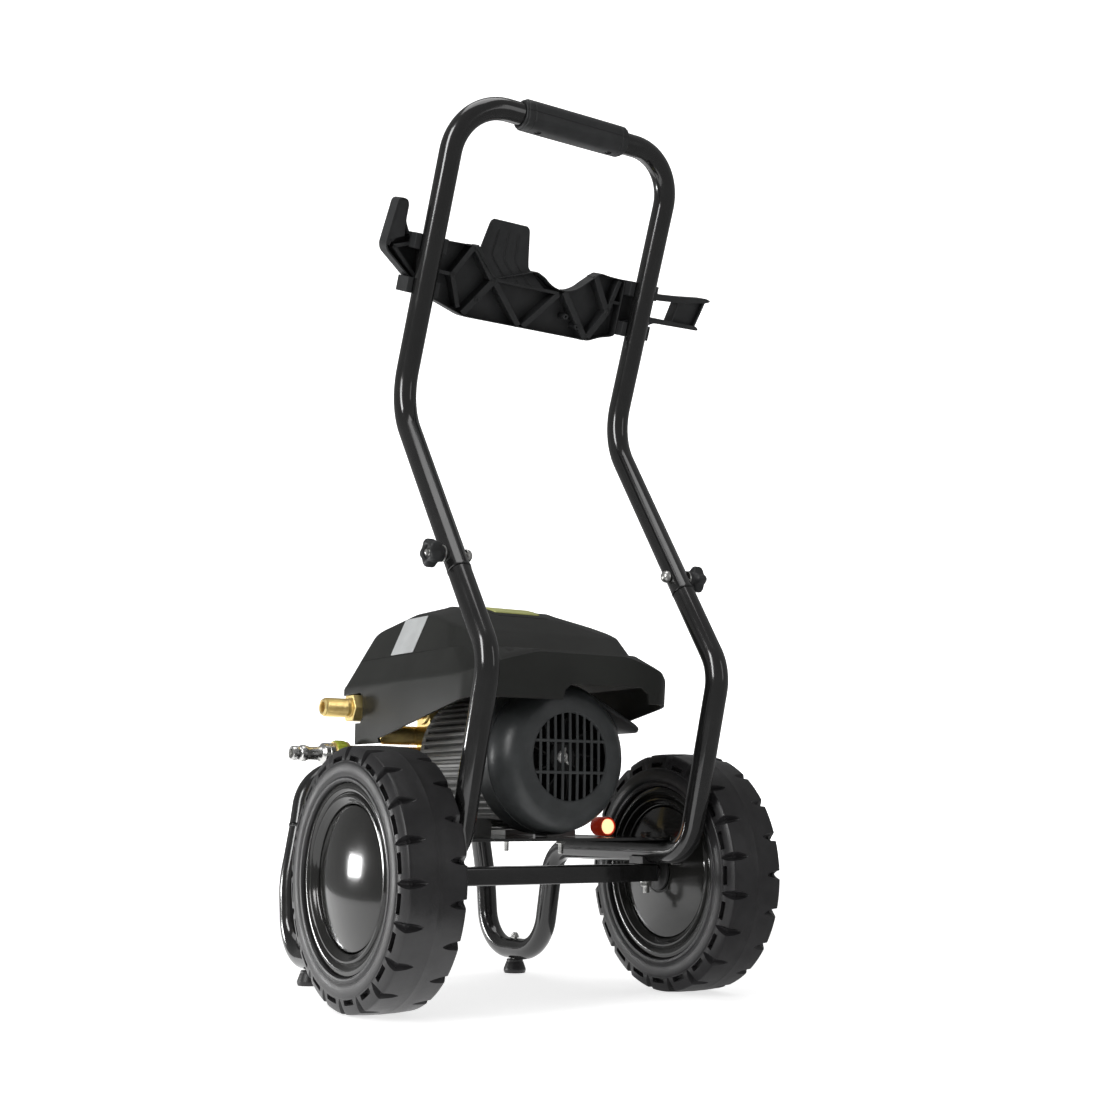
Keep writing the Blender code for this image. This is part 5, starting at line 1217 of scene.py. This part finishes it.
def inlet_fittings():
    """Water inlet: a threaded union, the ribbed filter ring round it and the snap-in coupling."""
    place, axis = Vector((0, PUMP_Y, INLET_Z)), -X_AXIS
    inlet = bmesh.new()
    turn(inlet, [(0.0445, 0.0050), (0.0445, 0.0096), (0.0460, 0.0100), (0.1400, 0.0100), (0.1404, 0.0134),
                 (0.1412, 0.0140), (0.1440, 0.0140), (0.1440, 0.0050)], axis, place)
    thread(inlet, place, axis, 0.1438, 0.1580, 0.0140, 0.0018, 0.0008, bore=0.0050, sides=48)
    show(made_from("inlet_union", inlet, 30), "brass", "frame", "inlet_fitting")
    collar = bmesh.new()
    turn(collar, [(0.1442, 0.0136), (0.1442, 0.0142), (0.1450, 0.0147), (0.1560, 0.0147), (0.1568, 0.0142),
                  (0.1568, 0.0136)], axis, place, 40)
    ribs_round(collar, place + axis * 0.1455, axis, 0.0100, (0.0144, 0.0008), (0.0152, 0.0005), 20)
    show(made_from("filter_ring", collar, 30), "filter", "frame")
    coupling = [(0.1583, 0.0046), (0.1583, 0.0114), (0.1588, 0.0120), (0.1640, 0.0121), (0.1646, 0.0114),
                (0.1656, 0.0114), (0.1662, 0.0121), (0.1702, 0.0120), (0.1710, 0.0112), (0.1726, 0.0090),
                (0.1740, 0.0080), (0.1790, 0.0075), (0.1860, 0.0074), (0.1885, 0.0078), (0.1905, 0.0087),
                (0.1925, 0.0091), (0.1960, 0.0091), (0.1975, 0.0086), (0.1984, 0.0076), (0.1996, 0.0073),
                (0.2010, 0.0078), (0.2026, 0.0080), (0.2066, 0.0079), (0.2080, 0.0072), (0.2085, 0.0062),
                (0.2080, 0.0050), (0.2060, 0.0046)]
    show(turned("snap_coupling", coupling, axis, place), "steel", "frame", "inlet_coupling")


# ---------------------------------------------------------------- hood
def hood_plan(rear_y, front_y, half, height, rear_rise, front_drop):
    """One level of the lower hood from above, its corners rounded and its rear arched up by rear_rise."""
    shoulder_y, nose = front_y - 0.024, height - front_drop
    left = [(-half, (rear_y + shoulder_y) / 2, height), (-half, rear_y + 0.030, height),
            (-half + 0.022, rear_y + 0.006, height + rear_rise * 0.30),
            (-half * 0.45, rear_y + 0.0015, height + rear_rise * 0.85)]
    right = [(-x, y, z) for x, y, z in reversed(left)]
    front = [(half, shoulder_y, height), (half - 0.012, front_y, nose), (0, front_y + 0.004, nose),
             (-half + 0.012, front_y, nose), (-half, shoulder_y, height)]
    return rounded_outline([Vector(p) for p in left + right + front], 0.010, 5)


def hood_shell():
    """Lower hood: side panels with a soft crease, a deep rear band with an arched rim, and an open nose."""
    levels = [(-0.0815, 0.2380, 0.1300, 0.2700, 0.0, 0.0), (-0.0870, 0.2382, 0.1302, 0.3340, 0.0, 0.0),
              (-0.0880, 0.2376, 0.1296, 0.3370, 0.0180, 0.002),
              (-0.0868, 0.2364, 0.1282, 0.3400, 0.0230, 0.004),
              (-0.0800, 0.2345, 0.1262, 0.3445, 0.0220, 0.004), (-0.0520, 0.2220, 0.1180, 0.3660, 0.0, 0.0)]
    outer = [hood_plan(*level) for level in levels]
    inner = []
    for rear, front, half, z, rise, drop in reversed(levels):
        lower = z - 0.002 if rise else z
        inner.append(hood_plan(rear + HOOD_WALL, front - HOOD_WALL, half - HOOD_WALL, lower, rise, drop))
    shell = skinned("lower_hood", outer + inner, 20, closed=True)
    lower_edge = ((-0.20, 0.20), (0.084, 0.20), (0.128, 0.2755), (-0.060, 0.311), (-0.20, 0.3118))
    front_opening = ((0.184, 0.20), (0.30, 0.20), (0.30, 0.324), (0.192, 0.324), (0.184, 0.316))
    outlet_notch = ((PUMP_Y - 0.017, 0.300), (PUMP_Y - 0.011, 0.294), (0.26, 0.294), (0.26, 0.328),
                    (PUMP_Y - 0.011, 0.328), (PUMP_Y - 0.017, 0.322))
    rear_opening = ((-0.028, 0.30), (0.092, 0.30), (0.087, 0.322), (0.078, 0.328), (-0.014, 0.328),
                    (-0.022, 0.322))
    rear_slit = ((0.1195, 0.3235), (0.1232, 0.3235), (0.1232, 0.3470), (0.1195, 0.3470))
    carve(shell, cutter([(-0.3, y, z) for y, z in lower_edge], X_AXIS * 0.6),
          cutter([(-0.3, y, z) for y, z in front_opening], X_AXIS * 0.6),
          cutter([(-0.2, y, z) for y, z in outlet_notch], X_AXIS * 0.1),
          cutter([(x, -0.13, z) for x, z in rear_opening], Y_AXIS * 0.08),
          cutter([(x, -0.13, z) for x, z in rear_slit], Y_AXIS * 0.085), smooth=20)
    soften(shell, 0.0009, 2, 35)
    show(shell, "hood_plastic", "frame", "hood_shell")


def height_on(line, y):
    """Height of a broken line, given as (Y, Z) corners, above a place along the trolley."""
    for (y0, z0), (y1, z1) in zip(line, line[1:]):
        if y <= y1:
            return z0 + (z1 - z0) * (y - y0) / (y1 - y0)
    return line[-1][1]


def lean_x(z):
    """How far the leaning flanks of the upper hood are from the middle at a height."""
    return 0.1180 - 0.404 * (z - CAP_BASE_Z)


def cap_ring(places, radius):
    """Closed, rounded ring from its right half, given as (X, Y, Z) from rear middle to front middle."""
    right = [Vector(place) for place in places]
    left = [Vector((-p.x, p.y, p.z)) for p in reversed(right[1:-1])]
    return rounded_outline(right + left, radius, CAP_STEPS)


def cap_rings(wall):
    """Rings of the upper hood from its base over the roof edge to the crown, moved inwards by a wall."""
    base = cap_ring([(0, wall - 0.051, CAP_BASE_Z), (0.088 - wall, wall - 0.046, CAP_BASE_Z),
                     (0.116 - wall, wall - 0.008, CAP_BASE_Z), (0.118 - wall, 0.050, CAP_BASE_Z),
                     (0.118 - wall, 0.100, CAP_BASE_Z), (0.118 - wall, 0.198, CAP_BASE_Z),
                     (0.106 - wall, 0.222 - wall, CAP_BASE_Z), (0, 0.226 - wall, CAP_BASE_Z)], 0.010)
    places = []
    for trim, y in ((None, wall - 0.012), (0.010, wall - 0.010), (0, 0.012), (0, 0.050), (0, 0.100),
                    (0, 0.182), (0.010, 0.205 - wall), (None, 0.209 - wall)):
        z = height_on(EDGE_LINE, y)
        places.append((0 if trim is None else lean_x(z) - trim - wall, y, z - wall * 0.6))
    edge = cap_ring(places, 0.012)
    crown_xs = (0, 0.045, 0.055, 0.055, 0.055, 0.055, 0.045, 0)
    crown = cap_ring([(x, y, height_on(CROWN_LINE, y) - wall) for x, y in zip(crown_xs, CROWN_YS)], 0.004)
    rings = [base, [b.lerp(e, 0.02) for b, e in zip(base, edge)]]
    for t in (step / 6 for step in range(7)):
        rounded = []
        for b, e, c in zip(base, edge, crown):
            down, over = (b - e).normalized() * 0.0060, (c - e).normalized() * 0.0060
            rounded.append((e + down) * (1 - t) ** 2 + e * 2 * t * (1 - t) + (e + over) * t ** 2)
        rings.append(rounded)
    return rings + [[e.lerp(c, 0.85) - Z_AXIS * 0.0004 for e, c in zip(edge, crown)], crown]


def hood_cap():
    """Upper hood: leaning flanks and a rounded roof edge; strips across the crown close its roof."""
    outer, inner = cap_rings(0.0), cap_rings(HOOD_WALL)
    bm = bmesh.new()
    loops = skin(bm, list(reversed(outer)) + inner, caps=False)
    first = CAP_STEPS // 2 + 1
    for crown in (loops[0], loops[-1]):
        count = len(crown)
        for i in range(first, first + count // 2 - 1):
            mirrored = CAP_STEPS - i
            bm.faces.new((crown[i], crown[i + 1], crown[(mirrored - 1) % count], crown[mirrored % count]))
    show(made_from("upper_hood", bm, 18), "hood_plastic", "frame", "hood_cap")


def roof_spine():
    """Raised spine along the hood's crown."""
    rings = []
    for y, half, rise in ((0.034, 0.034, 0.0004), (0.040, 0.037, 0.0012), (0.050, 0.037, 0.0014),
                          (0.070, 0.037, 0.0014), (0.100, 0.037, 0.0014), (0.130, 0.037, 0.0014),
                          (0.150, 0.037, 0.0014), (0.158, 0.034, 0.0004)):
        section = ((-half, -0.0010), (half, -0.0010), (half - 0.001, rise - 0.0006), (half - 0.002, rise),
                   (-half + 0.002, rise), (-half + 0.001, rise - 0.0006))
        rings.append([Vector((x, y, height_on(CROWN_LINE, y) + lift)) for x, lift in section])
    show(skinned("roof_spine", rings, 30), "hood_plastic", "frame")


def hood_stripe():
    """Coloured inlay on the spine."""
    rings = []
    for y, half in ((0.045, 0.0285), (0.047, 0.0300), (0.070, 0.0300), (0.100, 0.0300), (0.128, 0.0300),
                    (0.130, 0.0285)):
        section = ((-half, 0.0012), (half, 0.0012), (half, 0.0019), (half - 0.0006, 0.0023),
                   (-half + 0.0006, 0.0023), (-half, 0.0019))
        rings.append([Vector((x, y, height_on(CROWN_LINE, y) + lift)) for x, lift in section])
    show(skinned("spine_inlay", rings), "stripe", "frame", "hood_stripe")


def rating_plate():
    """Blank label on the left flank of the upper hood."""
    low_z, high_z = 0.3672, 0.4080
    foot, head = Vector((-lean_x(low_z), 0, low_z)), Vector((-lean_x(high_z), 0, high_z))
    up = (head - foot).normalized()
    outward = Vector((-up.z, 0, up.x))
    rings = []
    for lift, trim in ((0.0002, 0.0), (0.0006, 0.0), (0.0009, 0.0003)):
        low_edge, high_edge = foot + outward * lift + up * trim, head + outward * lift - up * trim
        corners = [low_edge + Y_AXIS * (0.0720 + trim), low_edge + Y_AXIS * (0.1230 - trim),
                   high_edge + Y_AXIS * (0.1190 - trim), high_edge + Y_AXIS * (0.0680 + trim)]
        rings.append(rounded_outline(corners, 0.0012, 3))
    show(skinned("flank_plate", rings), "label", "frame", "rating_plate")


def main_switch():
    """Rotary switch on the hood's front wall: a ribbed knob on a round base, with a bar across its face."""
    place = Vector((0.0, 0.2425, 0.335))
    bm = bmesh.new()
    turn(bm, [(0.0, 0), (0.0, 0.0180), (0.0006, 0.0190), (0.0034, 0.0190), (0.0044, 0.0180), (0.0052, 0.0160),
              (0.0120, 0.0150), (0.0150, 0.0146), (0.0164, 0.0130), (0.0168, 0)], Y_AXIS, place, 64)
    ribs_round(bm, place + Y_AXIS * 0.0055, Y_AXIS, 0.0098, (0.0140, 0.0009), (0.0163, 0.0006), 24)
    box(bm, (-0.0022, place.y + 0.0150, place.z - 0.0125), (0.0022, place.y + 0.0180, place.z + 0.0125))
    show(made_from("rotary_switch", bm, 30), "black_plastic", "switch", "main_switch_knob")


def pilot_lamp():
    """Red housing and amber lens of the lamp behind the motor."""
    housing = [(-0.0096, 0.0086), (-0.0100, 0.0094), (-0.0096, 0.0103), (-0.0086, 0.0105), (-0.0030, 0.0105),
               (-0.0026, 0.0100), (-0.0018, 0.0100), (-0.0014, 0.0105), (0.0096, 0.0105), (0.0112, 0.0098),
               (0.0120, 0.0084), (0.0120, 0), (-0.0040, 0), (-0.0040, 0.0086)]
    rings = [ring(LAMP + Y_AXIS * y, *frame_axes(Y_AXIS), max(r, 1e-5)) for y, r in housing]
    show(skinned("lamp_body", rings, closed=True), "lamp_red", "frame", "pilot_lamp_housing")
    lens = [(-0.0120, 0), (-0.0119, 0.0020), (-0.0115, 0.0044), (-0.0107, 0.0064), (-0.0096, 0.0077),
            (-0.0086, 0.0081), (-0.0044, 0.0081), (-0.0044, 0)]
    show(turned("lamp_window", lens, Y_AXIS, LAMP), "lamp_amber", "frame", "pilot_lamp_lens")


# ---------------------------------------------------------------- carried-over CAD nodes
def dress_frame():
    """Give every CAD node its slot's finish, the hidden ones included."""
    slots = {part["node"]: part["material_slot"] for part in frame["record"]["subparts"]}
    for node, item in frame["nodes"].items():
        item.data.materials.clear()
        item.data.materials.append(FINISHES[slots[node]])


# ---------------------------------------------------------------- studio
CAMERA_PLACE = Vector((-0.9485, -1.4567, 0.2010))
YAW, PITCH, ROLL = (math.radians(a) for a in (33.4312, 9.1717, 0.2754))
FOCAL_MM = 52.12


def plain(name, glow):
    """Dull near-white finish that gives off some light of its own."""
    made = bpy.data.materials.new(name)
    made.use_nodes = True
    shader = made.node_tree.nodes["Principled BSDF"]
    shader.inputs["Base Color"].default_value = (0.80, 0.80, 0.80, 1)
    shader.inputs["Roughness"].default_value = 0.9
    shader.inputs["Specular IOR Level"].default_value = 0.0
    shader.inputs["Emission Color"].default_value = (1, 1, 1, 1)
    shader.inputs["Emission Strength"].default_value = glow
    return made


def studio_plane(name, corners, glow):
    bm = bmesh.new()
    bm.faces.new([bm.verts.new(corner) for corner in corners])
    mesh = bpy.data.meshes.new(name)
    bm.to_mesh(mesh)
    bm.free()
    made = bpy.data.objects.new(name, mesh)
    bpy.context.scene.collection.objects.link(made)
    mesh.materials.append(plain(name, glow))
    return made


def light(name, place, target, size, power):
    """Soft oblong light aimed at a target."""
    lamp = bpy.data.lights.new(name, "AREA")
    lamp.shape = "RECTANGLE"
    lamp.size, lamp.size_y = size
    lamp.energy = power
    made = bpy.data.objects.new(name, lamp)
    bpy.context.scene.collection.objects.link(made)
    made.location = place
    made.rotation_euler = (Vector(target) - Vector(place)).to_track_quat("-Z", "Y").to_euler()


def studio():
    """Pale floor and backdrop square to the camera, and soft lights.

    The rounded metal would mirror the whole floor, so its gloss sees a narrower card just above it instead.
    """
    forward = Vector((math.sin(YAW), math.cos(YAW), 0))
    right = Vector((math.cos(YAW), -math.sin(YAW), 0))
    near, far, wide = forward * -0.75, forward * 4.5, right * 5.0
    floor = studio_plane("floor", [near - wide, near + wide, far + wide, far - wide], 0.72)
    floor.visible_glossy = False
    card = studio_plane("reflector", [corner + Z_AXIS * 0.0004 for corner in (
        near - right * 0.6, near + right * 0.1, far + right * 0.3, far - right * 2.4)], 0.72)
    card.visible_camera = False
    card.visible_diffuse = False
    card.visible_shadow = False
    half_back, high = right * 2.6, Z_AXIS * 4.2
    left, right = far - half_back, far + half_back
    backdrop = studio_plane("backdrop", [left, right, right + high, left + high], 1.05)
    backdrop.visible_glossy = False
    world = bpy.data.worlds.new("studio")
    world.use_nodes = True
    world.node_tree.nodes["Background"].inputs["Color"].default_value = (1.0, 1.0, 1.0, 1)
    world.node_tree.nodes["Background"].inputs["Strength"].default_value = 0.22
    bpy.context.scene.world = world
    light("top", (-0.2, -0.2, 2.8), (0, 0, 0.2), (1.6, 1.6), 16)
    light("left", (-2.6, -0.9, 1.5), (0, 0, 0.4), (0.7, 1.8), 38)
    light("window", (-1.75, 1.73, 0.20), (-0.2, 0, 0.15), (0.45, 0.26), 14)
    light("right", (1.2, -2.6, 1.2), (0, 0, 0.4), (0.5, 1.6), 3)


def set_camera():
    """Camera low behind the trolley's left side, looking slightly up."""
    ahead = Vector((math.sin(YAW) * math.cos(PITCH), math.cos(YAW) * math.cos(PITCH), math.sin(PITCH)))
    level = Vector((math.cos(YAW), -math.sin(YAW), 0))
    upright = level.cross(ahead)
    across = level * math.cos(ROLL) + upright * math.sin(ROLL)
    up = upright * math.cos(ROLL) - level * math.sin(ROLL)
    place = CAMERA_PLACE + ORIGIN
    camera = bpy.data.objects.new("camera", bpy.data.cameras.new("camera"))
    bpy.context.scene.collection.objects.link(camera)
    camera.data.lens = FOCAL_MM
    camera.matrix_world = Matrix((
        (across.x, up.x, -ahead.x, place.x), (across.y, up.y, -ahead.y, place.y),
        (across.z, up.z, -ahead.z, place.z), (0, 0, 0, 1)))
    bpy.context.scene.camera = camera
    bpy.context.scene.view_settings.view_transform = "Standard"


def main():
    dress_frame()
    for side, word in SIDES:
        frame_tube(side, word)
        clamp(side, word)
        wheel(side, word)
    front_bar()
    axle_beam()
    wheel_axle()
    base_plate()
    for side, word in SIDES:
        frame_fixings(side, word)
    handle_tube()
    grip_half("upper_grip", 1, "grip_upper")
    grip_half("lower_grip", -1, "grip_lower")
    grip_screws()
    tool_holder()
    lance_hook()
    cable_hook()
    motor_casing()
    drive_end_shield()
    fan_cover()
    fan_grille()
    fan()
    terminal_box()
    cable_gland()
    motor_bolts()
    pump_head()
    outlet_fitting()
    inlet_fittings()
    hood_shell()
    hood_cap()
    roof_spine()
    hood_stripe()
    rating_plate()
    main_switch()
    pilot_lamp()
    studio()
    set_camera()


main()
